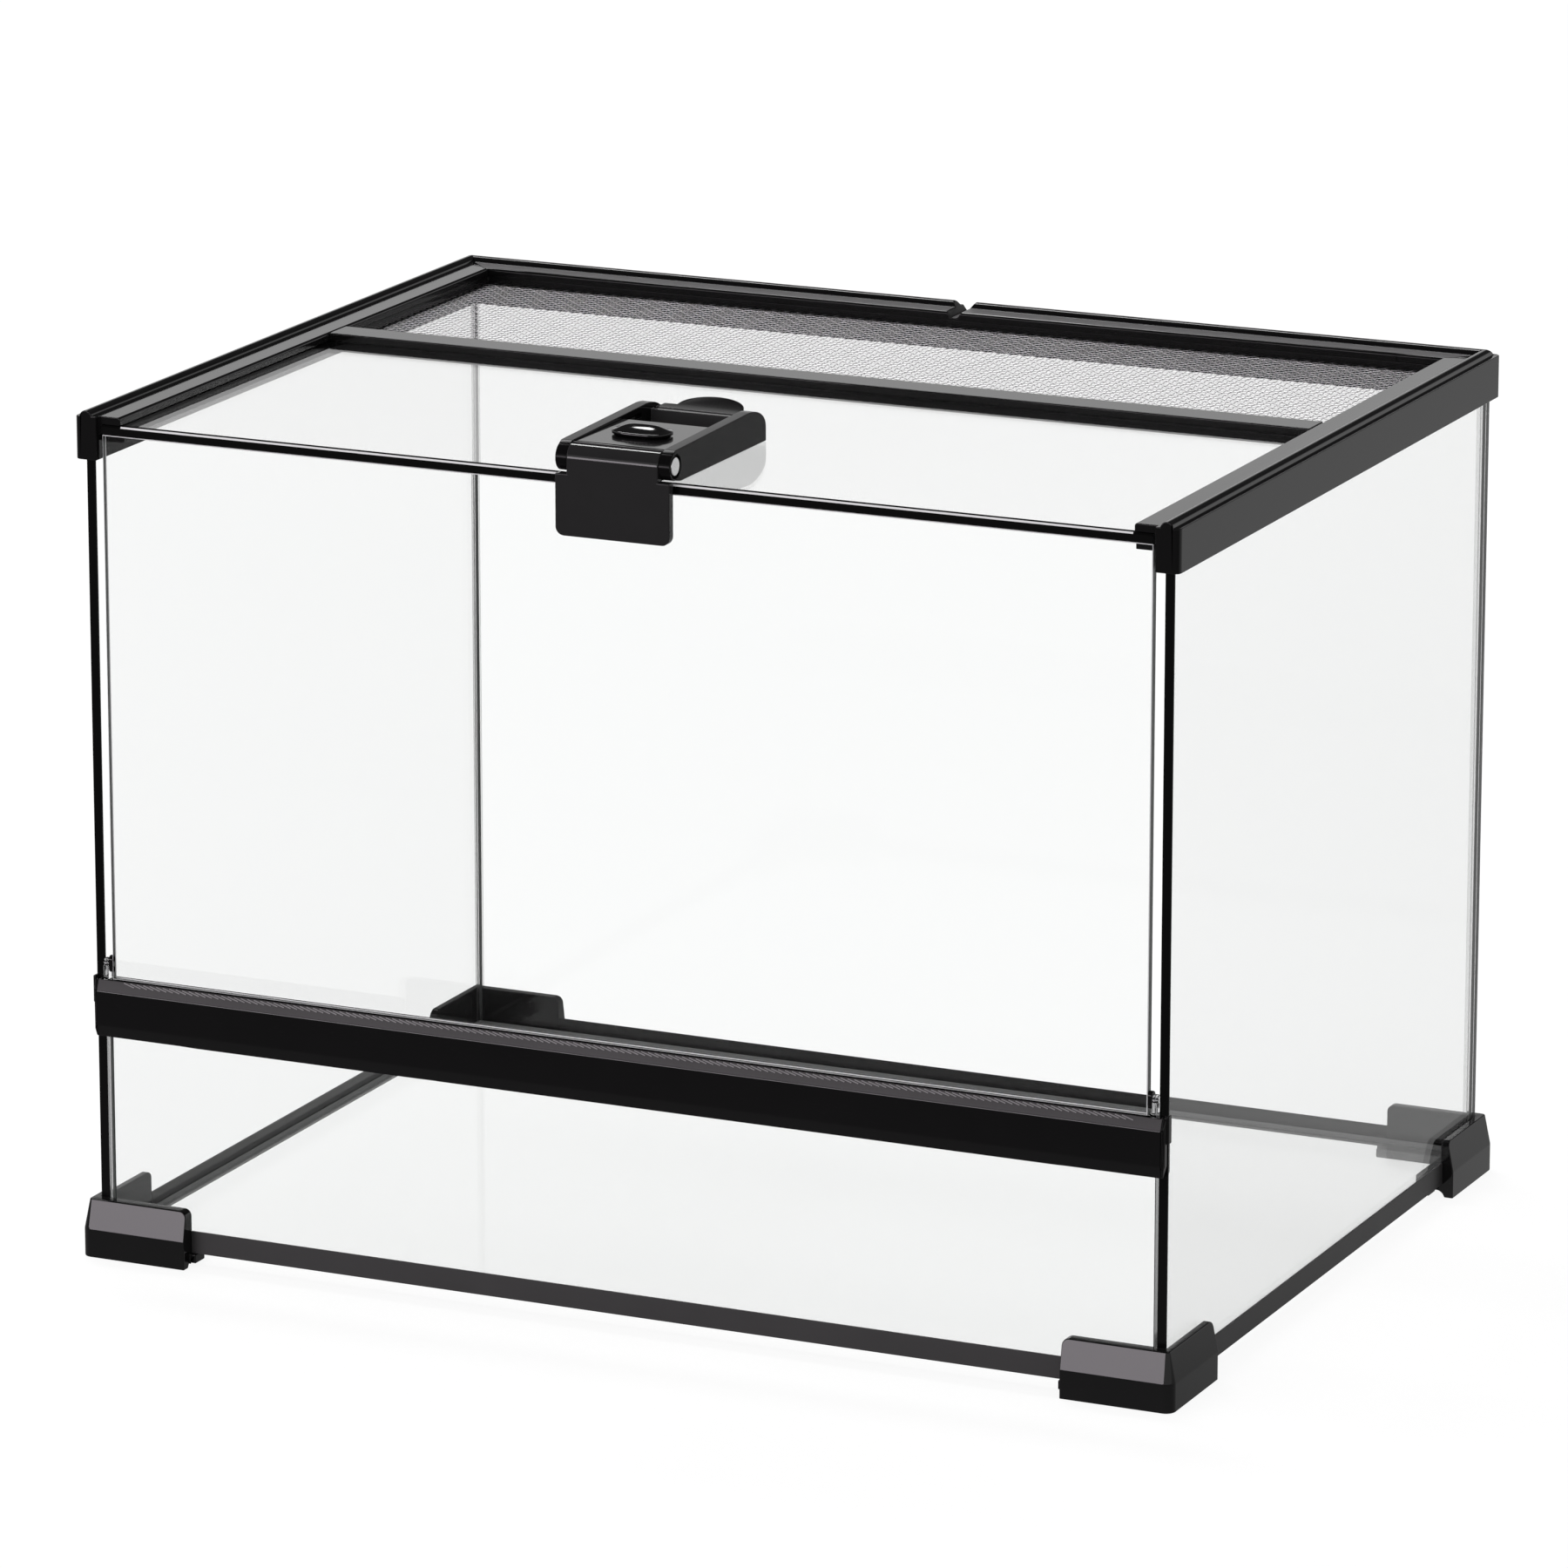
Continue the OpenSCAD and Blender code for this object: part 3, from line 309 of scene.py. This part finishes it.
def clear_glass(name, tint, ior, haze=0):
    """Polished glass that lets lamps shine through, with a share of white haze."""
    material, add = new_material(name)
    glass = add("BsdfPrincipled", {"Base Color": (*tint, 1), "Roughness": 0, "IOR": ior,
                                   "Transmission Weight": 1 - haze})
    path = add("LightPath").outputs
    lamps = add("Math", {0: path["Is Shadow Ray"], 1: path["Is Diffuse Ray"]},
                operation="MAXIMUM")
    gap = add("BsdfTransparent", {"Color": light_kept})
    either = add("MixShader", {0: lamps.outputs[0], 1: glass.outputs[0], 2: gap.outputs[0]})
    add("OutputMaterial", {"Surface": either.outputs[0]})
    return material


def ground_glass(name, shade):
    """A ground glass edge, with the fine scratches of the belt."""
    material, add = new_material(name)
    scratch = grain(add, belt_per_metre, detail=3, squeeze=(1, 1, 12))
    edge = add("BsdfPrincipled", {
        "Base Color": mottled(add, shade, scratch), "Roughness": 0.35, "IOR": 1.45,
        "Normal": dented(add, scratch, belt_depth)})
    add("OutputMaterial", {"Surface": edge.outputs[0]})
    return material


pane_glass = clear_glass("float_glass", (0.962, 0.966, 0.964), 1.34)
base_clear = clear_glass("base_float_glass", (0.985, 0.99, 0.987), 1.1, haze=0.08)
pane_edge = ground_glass("ground_edge", (0.075, 0.08, 0.078))
# Pale ground arrises: partly the frosting of the grinding and partly a painted highlight.
arris_frost_and_highlight = ground_glass("frost_and_highlight_arris", (0.8, 0.8, 0.81))

# Black enamel, brushed on some of the ground edges and fired.
brush_per_metre = 700
brush_depth = 0.000004
enamel, add = new_material("black_enamel")
coat = add("BsdfPrincipled", {
    "Base Color": (0.002, 0.002, 0.002, 1), "Roughness": 0.12, "IOR": 1.35,
    "Normal": dented(add, grain(add, brush_per_metre), brush_depth)})
add("OutputMaterial", {"Surface": coat.outputs[0]})


def float_pane(node, name, across, glass=pane_glass, rims=pane_edge, dark=None):
    """A pane in its node's place. across is the axis of its thickness: 0, 1 or 2. Its broken
    arrises take the material rims, and edges that face along dark are enamelled."""
    low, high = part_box(node)
    shape = bmesh.new()
    bmesh.ops.create_cube(shape, size=1)
    for vert in shape.verts:
        vert.co = Vector([high[i] if vert.co[i] > 0 else low[i] for i in range(3)])
    edges = [e for e in shape.edges
             if sum(abs(f.normal[across]) > square_on for f in e.link_faces) == 1]
    bmesh.ops.bevel(shape, geom=edges, offset=arris, offset_type="OFFSET", segments=1,
                    profile=0.5, affect="EDGES", clamp_overlap=True)
    shape.normal_update()
    for face in shape.faces:
        lean = abs(face.normal[across])
        if dark and face.normal.dot(Vector(dark)) > square_on:
            face.material_index = 3
        elif lean < edge_on:
            face.material_index = 1
        elif lean < square_on:
            face.material_index = 2
    mesh = bpy.data.meshes.new(name)
    shape.to_mesh(mesh)
    shape.free()
    for material in (glass, pane_edge, rims, enamel):
        mesh.materials.append(material)
    pane = bpy.data.objects.new(name, mesh)
    scene.collection.objects.link(pane)
    return pane


for pane, node in (
        (float_pane("base_pane", "base_glass", 2, glass=base_clear), "base_pane"),
        (float_pane("side_pane_left", "side_glass_left", 0), "side_pane_left"),
        (float_pane("side_pane_right", "side_glass_right", 0), "side_pane_right"),
        (float_pane("rear_pane", "rear_glass", 1), "rear_pane"),
        (float_pane("front_lower_pane", "front_lower_glass", 1, dark=(1, 0, 0)),
         "front_lower_pane")):
    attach(pane, "tank")
    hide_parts(node)

# ---------- Dark bands on the front edges ----------
# The enamel on the ground front edges of the side panes, which frames the door. It is fired
# before the tank is glued.


def dress(node, finish):
    """Gives a CAD piece its finish. Its mesh stays as it is."""
    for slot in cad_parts[node].material_slots:
        slot.material = finish


for node in ("side_edge_band_left", "side_edge_band_right"):
    dress(node, enamel)

# ---------- Silicone joints ----------
# Clear neutral-cure silicone, pressed from a cartridge into the four upright corners and
# smoothed wet. It holds the panes together.
bead_per_metre = 300
bead_depth = 0.00004
clear_bead, add = new_material("clear_silicone")
gum = add("BsdfPrincipled", {
    "Base Color": (0.76, 0.76, 0.76, 1), "Roughness": 0.12, "IOR": 1.18,
    "Transmission Weight": 1,
    "Normal": dented(add, grain(add, bead_per_metre, squeeze=(1, 1, 0.25)), bead_depth)})
either = add("MixShader", {0: add("LightPath").outputs["Is Shadow Ray"], 1: gum.outputs[0],
                           2: add("BsdfTransparent").outputs[0]})
add("OutputMaterial", {"Surface": either.outputs[0]})
for node in ("silicone_front_left", "silicone_front_right",
             "silicone_rear_left", "silicone_rear_right"):
    dress(node, clear_bead)

# ---------- Front rail and its end caps ----------
# An extruded black rail over the lower pane, with moulded caps pushed into both ends. The
# slope along its front gets a matt, paler copy of the black: a painted sheen for the light it
# catches.
rail_edge = 0.0003
cap_edge = 0.0003
slope_lean = -0.25
slope_steepest = 0.3
slope_flattest = 0.95
rail = softened("front_rail", "front_sill", rail_edge)
rail.data.materials.append(glossy_black)
# Painted sheen: a paler, matt black for the faces of the front slope.
slope_sheen_black = black_abs("painted_sheen_slope_abs", (0.055, 0.052, 0.054), 0.35, 0.45, ior=1.35)
rail.data.materials.append(slope_sheen_black)
for face in rail.data.polygons:
    if face.normal.y < slope_lean and slope_steepest < face.normal.z < slope_flattest:
        face.material_index = 1
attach(rail, "tank")
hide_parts("front_rail")
for hand in ("left", "right"):
    cap = softened("front_rail_cap_" + hand, "sill_cap_" + hand, cap_edge)
    cap.data.materials.append(glossy_black)
    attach(cap, "tank")
    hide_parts("front_rail_cap_" + hand)

# ---------- Vent grille ----------
# A strip with slanted bars, moulded in glossy black ABS. It drops into the sill and lets air
# in below the door.
grille_edge = 0.00015
grille = softened("front_vent_grille", "vent_grille", grille_edge)
grille_black = black_abs("grille_black_abs", (0.0052, 0.005, 0.0052), 0.08, 0.1, ior=1.6)
grille.data.materials.append(grille_black)
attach(grille, "tank")
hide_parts("front_vent_grille")

# Fine slanted ribs along the upper half of the sill's front slope. Their pale grey is a painted
# glint, for the light that the ribs catch.
rib_pitch = 0.0025
rib_size = (0.0042, 0.00024, 0.00034)
rib_slant = 0.28
rib_span = 0.372
rib_share = 0.78
slope_run = 0.0015
slope_rise = 0.004
# Pale grey plastic: the painted glint on the ribs.
rib_glint_grey = black_abs("painted_glint_rib_abs", (0.23, 0.22, 0.227), 0.3, 0.4)


def sized_tree(name, sizes):
    """A geometry tree with named inputs, its inputs, and a function that adds a node to it."""
    tree = bpy.data.node_groups.new(name, "GeometryNodeTree")
    tree.interface.new_socket("Geometry", in_out="OUTPUT", socket_type="NodeSocketGeometry")
    for label, kind in sizes:
        tree.interface.new_socket(label, in_out="INPUT", socket_type="NodeSocket" + kind)
    add = node_maker(tree)
    return tree, add("NodeGroupInput").outputs, add


def rib_tree():
    """A row of bars along X, each slanted in the slope and leaning back with it."""
    tree, given, add = sized_tree("rib_row", (
        ("Ribs", "Int"), ("Pitch", "Float"), ("Rib size", "Vector"), ("Slant", "Float"),
        ("Lean", "Float"), ("Rib plastic", "Material")))
    apart = add("ShaderNodeCombineXYZ", {"X": given["Pitch"]})
    line = add("GeometryNodeMeshLine", {"Count": given["Ribs"], "Offset": apart.outputs[0]})
    bar = add("GeometryNodeMeshCube", {"Size": given["Rib size"]})
    slant = add("ShaderNodeCombineXYZ", {"Y": given["Slant"]})
    turned = add("GeometryNodeTransform", {"Geometry": bar.outputs["Mesh"],
                                           "Rotation": slant.outputs[0]})
    lean = add("ShaderNodeCombineXYZ", {"X": given["Lean"]})
    leant = add("GeometryNodeTransform", {"Geometry": turned.outputs[0],
                                          "Rotation": lean.outputs[0]})
    bars = add("GeometryNodeInstanceOnPoints", {"Points": line.outputs[0],
                                                "Instance": leant.outputs[0]})
    real = add("GeometryNodeRealizeInstances", {"Geometry": bars.outputs[0]})
    paint = add("GeometryNodeSetMaterial", {"Geometry": real.outputs[0],
                                            "Material": given["Rib plastic"]})
    add("NodeGroupOutput", {"Geometry": paint.outputs[0]})
    return tree


def formed(name, tree, sizes):
    """A piece that a geometry tree makes from these sizes."""
    piece = bpy.data.objects.new(name, bpy.data.meshes.new(name))
    scene.collection.objects.link(piece)
    maker = piece.modifiers.new(name, "NODES")
    maker.node_group = tree
    for item in tree.interface.items_tree:
        if item.in_out == "INPUT":
            maker[item.identifier] = sizes[item.name]
    settle(piece)
    return piece


rib_count = int(rib_span / rib_pitch)
ribs = formed("sill_ribs", rib_tree(), {
    "Ribs": rib_count, "Pitch": rib_pitch, "Rib size": rib_size, "Slant": rib_slant,
    "Lean": -atan2(slope_run, slope_rise), "Rib plastic": rib_glint_grey})
ribs.data.materials.pop(index=0)  # the empty slot that the bars are made with
rail_low, rail_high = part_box("front_rail")
ribs.data.transform(Matrix.Translation((
    -(rib_count - 1) * rib_pitch / 2, rail_low.y + rib_share * slope_run,
    rail_high.z - (1 - rib_share) * slope_rise)))
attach(ribs, "tank")
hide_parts("front_vent_grille")

# ---------- Door, hinge lugs, pins and bearings ----------
# The door is a glass pane with a black lug clipped on each lower corner. A steel pin in the
# lug turns in a clear post that stands in the sill.
lug_edge = 0.0002
pin_edge = 0.00015
post_edge = 0.0002
sink_per_metre = 220
sink_depth = 0.00002
# Its broken arrises are pale, partly frosting and partly a painted highlight.
door = float_pane("door_pane", "door_glass", 1, rims=arris_frost_and_highlight, dark=(0, 0, 1))
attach(door, "door")
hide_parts("door_pane")

clear_post, add = new_material("clear_acrylic")
acrylic = add("BsdfPrincipled", {
    "Base Color": (0.95, 0.95, 0.96, 1), "Roughness": 0.04, "IOR": 1.4,
    "Transmission Weight": 1, "Normal": dented(add, grain(add, sink_per_metre), sink_depth)})
add("OutputMaterial", {"Surface": acrylic.outputs[0]})


def bare_steel(name, shade, marks_per_metre, smooth, rough, squeeze=None):
    """Steel without a coat. Its roughness varies with the marks that its making left."""
    material, add = new_material(name)
    polish = add("MapRange", {"Value": grain(add, marks_per_metre, squeeze=squeeze),
                              "To Min": smooth, "To Max": rough})
    metal = add("BsdfPrincipled", {"Base Color": (*shade, 1), "Metallic": 1,
                                   "Roughness": polish.outputs[0]})
    add("OutputMaterial", {"Surface": metal.outputs[0]})
    return material


steel = bare_steel("polished_steel", (0.75, 0.75, 0.76), marks_per_metre=500,
                   smooth=0.12, rough=0.3, squeeze=(14, 1, 1))
for hand in ("left", "right"):
    lug = softened("hinge_lug_" + hand, "door_lug_" + hand, lug_edge)
    lug.data.materials.append(glossy_black)
    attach(lug, "door")
    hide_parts("hinge_lug_" + hand)
    pin = softened("hinge_pin_" + hand, "steel_pin_" + hand, pin_edge)
    pin.data.materials.append(steel)
    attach(pin, "door")
    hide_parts("hinge_pin_" + hand)
    post = softened("hinge_bearing_" + hand, "hinge_post_" + hand, post_edge)
    post.data.materials.append(clear_post)
    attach(post, "tank")
    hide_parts("hinge_bearing_" + hand)

# ---------- Top rails and crossbar ----------
# Extruded black profiles, mitred at the rear corners, with a bead along the outside and a
# groove for the roof. The crossbar parts the roof glass from the mesh.
beam_edge = 0.0003
level_face = 0.97
# The rear rail's upward faces get a paler, matt copy of the black: a painted sheen for the bright
# room they mirror.
top_sheen_black = black_abs("painted_sheen_top_abs", (0.14, 0.136, 0.14), 0.35, 0.45, ior=1.35)
for node, name in (("top_rail_left", "roof_rail_left"), ("top_rail_right", "roof_rail_right"),
                   ("top_rail_rear", "roof_rail_rear"), ("top_crossbar", "roof_crossbar")):
    beam = softened(node, name, beam_edge)
    beam.data.materials.append(glossy_black)
    if node == "top_rail_rear":
        beam.data.materials.append(top_sheen_black)
        for face in beam.data.polygons:
            if face.normal.z > level_face:
                face.material_index = 1
    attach(beam, "tank")
    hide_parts(node)

# ---------- Roof glass ----------
# A float glass pane in the rails' groove. Its front edge is enamelled black up to a broad
# ground arris, which is pale, partly for its frosting and partly as a painted highlight, and a
# matt black strip lies on its top face behind the arris.
bright_rise = 0.0006
dark_strip = 0.0022
roof = float_pane("top_pane", "roof_glass", 2)
# A flat matt black on the roof's top face just behind the front arris.
black_strip_behind_arris = black_abs("black_strip_behind_arris", (0.002, 0.002, 0.002), 0.45, 0.5, ior=1.04)
roof.data.materials.append(black_strip_behind_arris)
shape = bmesh.new()
shape.from_mesh(roof.data)
strip_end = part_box("top_pane")[0].y + dark_strip
bmesh.ops.bisect_plane(shape, geom=shape.verts[:] + shape.edges[:] + shape.faces[:],
                       plane_co=(0, strip_end, 0), plane_no=(0, 1, 0))
for face in shape.faces:
    if face.normal.z > edge_on and face.calc_center_median().y < strip_end:
        face.material_index = 4
shape.to_mesh(roof.data)
shape.free()
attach(roof, "tank")
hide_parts("top_pane")

# The band before the glass has four sides and three lengths. The middle one, between the
# side rails, has the pale arris with its painted highlight.
band_low, band_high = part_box("top_edge_band")
bright_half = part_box("top_rail_right")[0].x
profile = ((band_low.y, band_low.z), (band_low.y, band_high.z - bright_rise),
           (band_high.y, band_high.z), (band_high.y, band_low.z))
stations = (band_low.x, -bright_half, bright_half, band_high.x)
ends = [(0, 1, 2, 3), (15, 14, 13, 12)]
sides = [(m + k, m + k + 4, m + (k + 1) % 4 + 4, m + (k + 1) % 4)
         for m in (0, 4, 8) for k in range(4)]
band_mesh = bpy.data.meshes.new("roof_front_band")
band_mesh.from_pydata([(x, y, z) for x in stations for y, z in profile], [], ends + sides)
band_mesh.materials.append(enamel)
band_mesh.materials.append(arris_frost_and_highlight)
band_mesh.polygons[len(ends) + 4 + 1].material_index = 1
band = bpy.data.objects.new("roof_front_band", band_mesh)
scene.collection.objects.link(band)
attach(band, "tank")
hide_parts("top_edge_band")

# ---------- Mesh roof ----------
# Fine stainless wire cloth, plain woven, held by a slim black frame behind the crossbar. One
# set of wires runs from side to side, and the other from front to rear.
frame_edge = 0.0003
wire_pitch = 0.00243
wire_size = 0.00025
wire_sides = 5
steps_per_wire = 2
screen_frame = softened("mesh_frame", "screen_frame", frame_edge)
screen_frame.data.materials.append(glossy_black)
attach(screen_frame, "tank")
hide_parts("mesh_frame")
wire_steel = bare_steel("woven_steel", (0.62, 0.6, 0.62), marks_per_metre=1200,
                        smooth=0.3, rough=0.5)


def weave_tree():
    """One set of parallel wires along X, each bent over and under the other set."""
    tree, given, add = sized_tree("weave", (
        ("Wires", "Int"), ("Crossings", "Int"), ("Pitch", "Float"), ("Wire radius", "Float"),
        ("Phase", "Float"), ("Wire metal", "Material")))

    def math(operation, *terms):
        return add("ShaderNodeMath", dict(enumerate(terms)), operation=operation).outputs[0]

    # One straight wire is copied side by side. Each copy carries its own number.
    points = math("ADD", math("MULTIPLY", given["Crossings"], steps_per_wire), 1)
    step = add("ShaderNodeCombineXYZ", {"X": math("DIVIDE", given["Pitch"], steps_per_wire)})
    run = add("GeometryNodeMeshLine", {"Count": points, "Offset": step.outputs[0]})
    apart = add("ShaderNodeCombineXYZ", {"Y": given["Pitch"]})
    rows = add("GeometryNodeMeshLine", {"Count": given["Wires"], "Offset": apart.outputs[0]})
    number = add("GeometryNodeStoreNamedAttribute", {
        "Geometry": rows.outputs[0], "Name": "row",
        "Value": add("GeometryNodeInputIndex").outputs[0]}, data_type="FLOAT", domain="POINT")
    wires = add("GeometryNodeInstanceOnPoints", {"Points": number.outputs[0],
                                                 "Instance": run.outputs[0]})
    loose = add("GeometryNodeRealizeInstances", {"Geometry": wires.outputs[0]})

    # The wires are bent in waves, which the number shifts from wire to wire.
    row = add("GeometryNodeInputNamedAttribute", {"Name": "row"}, data_type="FLOAT")
    along = add("ShaderNodeSeparateXYZ", {0: add("GeometryNodeInputPosition").outputs[0]})
    turns = math("DIVIDE", along.outputs["X"], given["Pitch"])
    shifted = math("ADD", math("ADD", turns, row.outputs[0]), given["Phase"])
    wave = math("COSINE", math("MULTIPLY", shifted, pi))
    lift = add("ShaderNodeCombineXYZ", {"Z": math("MULTIPLY", wave, given["Wire radius"])})
    bent = add("GeometryNodeSetPosition", {"Geometry": loose.outputs[0],
                                           "Offset": lift.outputs[0]})

    # They get their round section and their metal.
    path = add("GeometryNodeMeshToCurve", {"Mesh": bent.outputs[0]})
    section = add("GeometryNodeCurvePrimitiveCircle", {"Resolution": wire_sides,
                                                       "Radius": given["Wire radius"]})
    solid = add("GeometryNodeCurveToMesh", {
        "Curve": path.outputs[0], "Profile Curve": section.outputs[0], "Fill Caps": True})
    smooth = add("GeometryNodeSetShadeSmooth", {0: solid.outputs[0]})
    real = add("GeometryNodeRealizeInstances", {"Geometry": smooth.outputs[0]})
    paint = add("GeometryNodeSetMaterial", {"Geometry": real.outputs[0],
                                            "Material": given["Wire metal"]})
    add("NodeGroupOutput", {"Geometry": paint.outputs[0]})
    return tree


weave = weave_tree()
cloth_low, cloth_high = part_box("mesh_screen")
mid_z = (cloth_low.z + cloth_high.z) / 2
reach = cloth_high - cloth_low
across_x = int((reach.x - wire_size) / wire_pitch)
across_y = int((reach.y - wire_size) / wire_pitch)
start_x = (cloth_low.x + cloth_high.x) / 2 - across_x * wire_pitch / 2
start_y = (cloth_low.y + cloth_high.y) / 2 - across_y * wire_pitch / 2
swap_x_and_y = Matrix(((0, 1, 0, 0), (1, 0, 0, 0), (0, 0, -1, 0), (0, 0, 0, 1)))
for name, wires, crossings, phase, turn in (
        ("weft_wires", across_y + 1, across_x, 0.0, Matrix.Identity(4)),
        ("warp_wires", across_x + 1, across_y, 1.0, swap_x_and_y)):
    wire_cloth = formed(name, weave, {
        "Wires": wires, "Crossings": crossings, "Pitch": wire_pitch,
        "Wire radius": wire_size / 2, "Phase": phase, "Wire metal": wire_steel})
    wire_cloth.data.transform(turn)
    wire_cloth.data.transform(Matrix.Translation((start_x, start_y, mid_z)))
    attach(wire_cloth, "tank")
    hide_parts("mesh_screen")

# ---------- Latch ----------
# A moulded clasp: its plate is stuck on the door with a foam pad, and the arm swings over
# the roof glass on a chromed pin. The slider behind the barrel carries an oval thumb knob.
plate_edge = 0.0004
arm_edge = 0.0002
slider_edge = 0.0002
bolt_edge = 0.0003
tab_length = 0.0115
tab_tilt = 0.3
tab_depth = 0.58
bar_length = 0.0115
bar_half = 0.0165
bar_margin = 0.0002
satin_black = black_abs("satin_black_abs", (0.019, 0.0185, 0.019), 0.05, 0.08)
arm_black = black_abs("arm_black_abs", (0.0045, 0.0043, 0.0045), 0.12, 0.16, ior=1.17)
# A paler black for the bar before the tab: painted sheen.
bar_sheen_black = black_abs("painted_sheen_bar_abs", (0.06, 0.058, 0.06), 0.2, 0.25, ior=1.45)
slider_black = black_abs("slider_black_abs", (0.0052, 0.005, 0.0052), 0.08, 0.1, ior=1.43)
plate = softened("latch_plate", "clasp_plate", plate_edge)
plate.data.materials.append(satin_black)
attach(plate, "door")
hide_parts("latch_plate")

# The arm's lift tab is bent up, and the bar before the tab gets a paler copy of the black: a
# painted sheen on its ridges.
arm = softened("latch_arm", "clasp_arm", arm_edge, sharp=20)
tab_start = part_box("latch_arm")[1].y - tab_length
for vert in arm.data.vertices:
    if vert.co.y > tab_start:
        vert.co.y = tab_start + tab_depth * (vert.co.y - tab_start)
        vert.co.z += tab_tilt * (vert.co.y - tab_start)
arm.data.materials.append(arm_black)
arm.data.materials.append(bar_sheen_black)
for face in arm.data.polygons:
    before_tab = tab_start - face.center.y
    if bar_margin < before_tab < bar_length and abs(face.center.x) < bar_half:
        face.material_index = 1
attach(arm, "latch_arm")
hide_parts("latch_arm")
slide = softened("latch_slider", "clasp_slider", slider_edge)
slide.data.materials.append(slider_black)
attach(slide, "slider")
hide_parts("latch_slider")
bolt = softened("latch_pin", "clasp_pin", bolt_edge)
bolt.data.materials.append(steel)
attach(bolt, "latch_arm")
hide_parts("latch_pin")

# The pad behind the plate is black foam tape with open pores.
pores_per_metre = 2500
pore_depth = 0.00006
foam, add = new_material("foam_tape")
cells = add("TexVoronoi", {"Scale": pores_per_metre, "Vector": add("TexCoord").outputs["Object"]})
tape = add("BsdfPrincipled", {
    "Base Color": (0.02, 0.02, 0.021, 1), "Roughness": 0.85,
    "Normal": dented(add, cells.outputs["Distance"], pore_depth)})
add("OutputMaterial", {"Surface": tape.outputs[0]})
dress("latch_pad", foam)

# The thumb knob: a short stem, an upright wall with squared ends and a domed top.
knob_round = 64
knob_square = 0.75
knob_lean = 0.1
knob_waist = 0.5
knob_rings = (  # share of the half length, of the half width, and of the height
    (0.93, 0.86, 0.0), (0.93, 0.86, 0.13), (0.94, 0.88, 0.15), (0.99, 0.98, 0.155),
    (1.00, 1.00, 0.18), (1.00, 1.00, 0.42), (0.995, 0.985, 0.45), (0.97, 0.94, 0.475),
    (0.92, 0.86, 0.51), (0.86, 0.74, 0.565), (0.80, 0.62, 0.635), (0.74, 0.52, 0.705),
    (0.66, 0.42, 0.785), (0.57, 0.32, 0.87), (0.46, 0.22, 0.94), (0.30, 0.12, 0.985),
    (0.10, 0.05, 1.0))
knob_low, knob_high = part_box("slider_knob")
knob_mid = (knob_low + knob_high) / 2
knob_half = (knob_high - knob_low) / 2
knob_black = black_abs("knob_black_abs", (0.004, 0.0038, 0.004), 0.05, 0.07, ior=1.52)
shape = bmesh.new()
rings = []
for along, wide, high in knob_rings:
    ring = []
    back = knob_lean * max(0, high - knob_waist) * knob_half.y
    for k in range(knob_round):
        turn = 2 * pi * k / knob_round
        c, s = (copysign(abs(f) ** knob_square, f) for f in (cos(turn), sin(turn)))
        ring.append(shape.verts.new((knob_mid.x + knob_half.x * along * c,
                                     knob_mid.y + knob_half.y * wide * s + back,
                                     knob_low.z + 2 * knob_half.z * high)))
    rings.append(ring)
for lower, upper in zip(rings, rings[1:]):
    for k in range(knob_round):
        n = (k + 1) % knob_round
        shape.faces.new((lower[k], lower[n], upper[n], upper[k]))
shape.faces.new(list(reversed(rings[0])))
shape.faces.new(rings[-1])
bmesh.ops.recalc_face_normals(shape, faces=shape.faces)
knob_mesh = bpy.data.meshes.new("thumb_knob")
shape.to_mesh(knob_mesh)
shape.free()
for face in knob_mesh.polygons:
    face.use_smooth = True
knob_mesh.materials.append(knob_black)
knob = bpy.data.objects.new("thumb_knob", knob_mesh)
scene.collection.objects.link(knob)
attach(knob, "slider")
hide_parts("slider_knob")

# ---------- Size ----------
low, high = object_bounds()
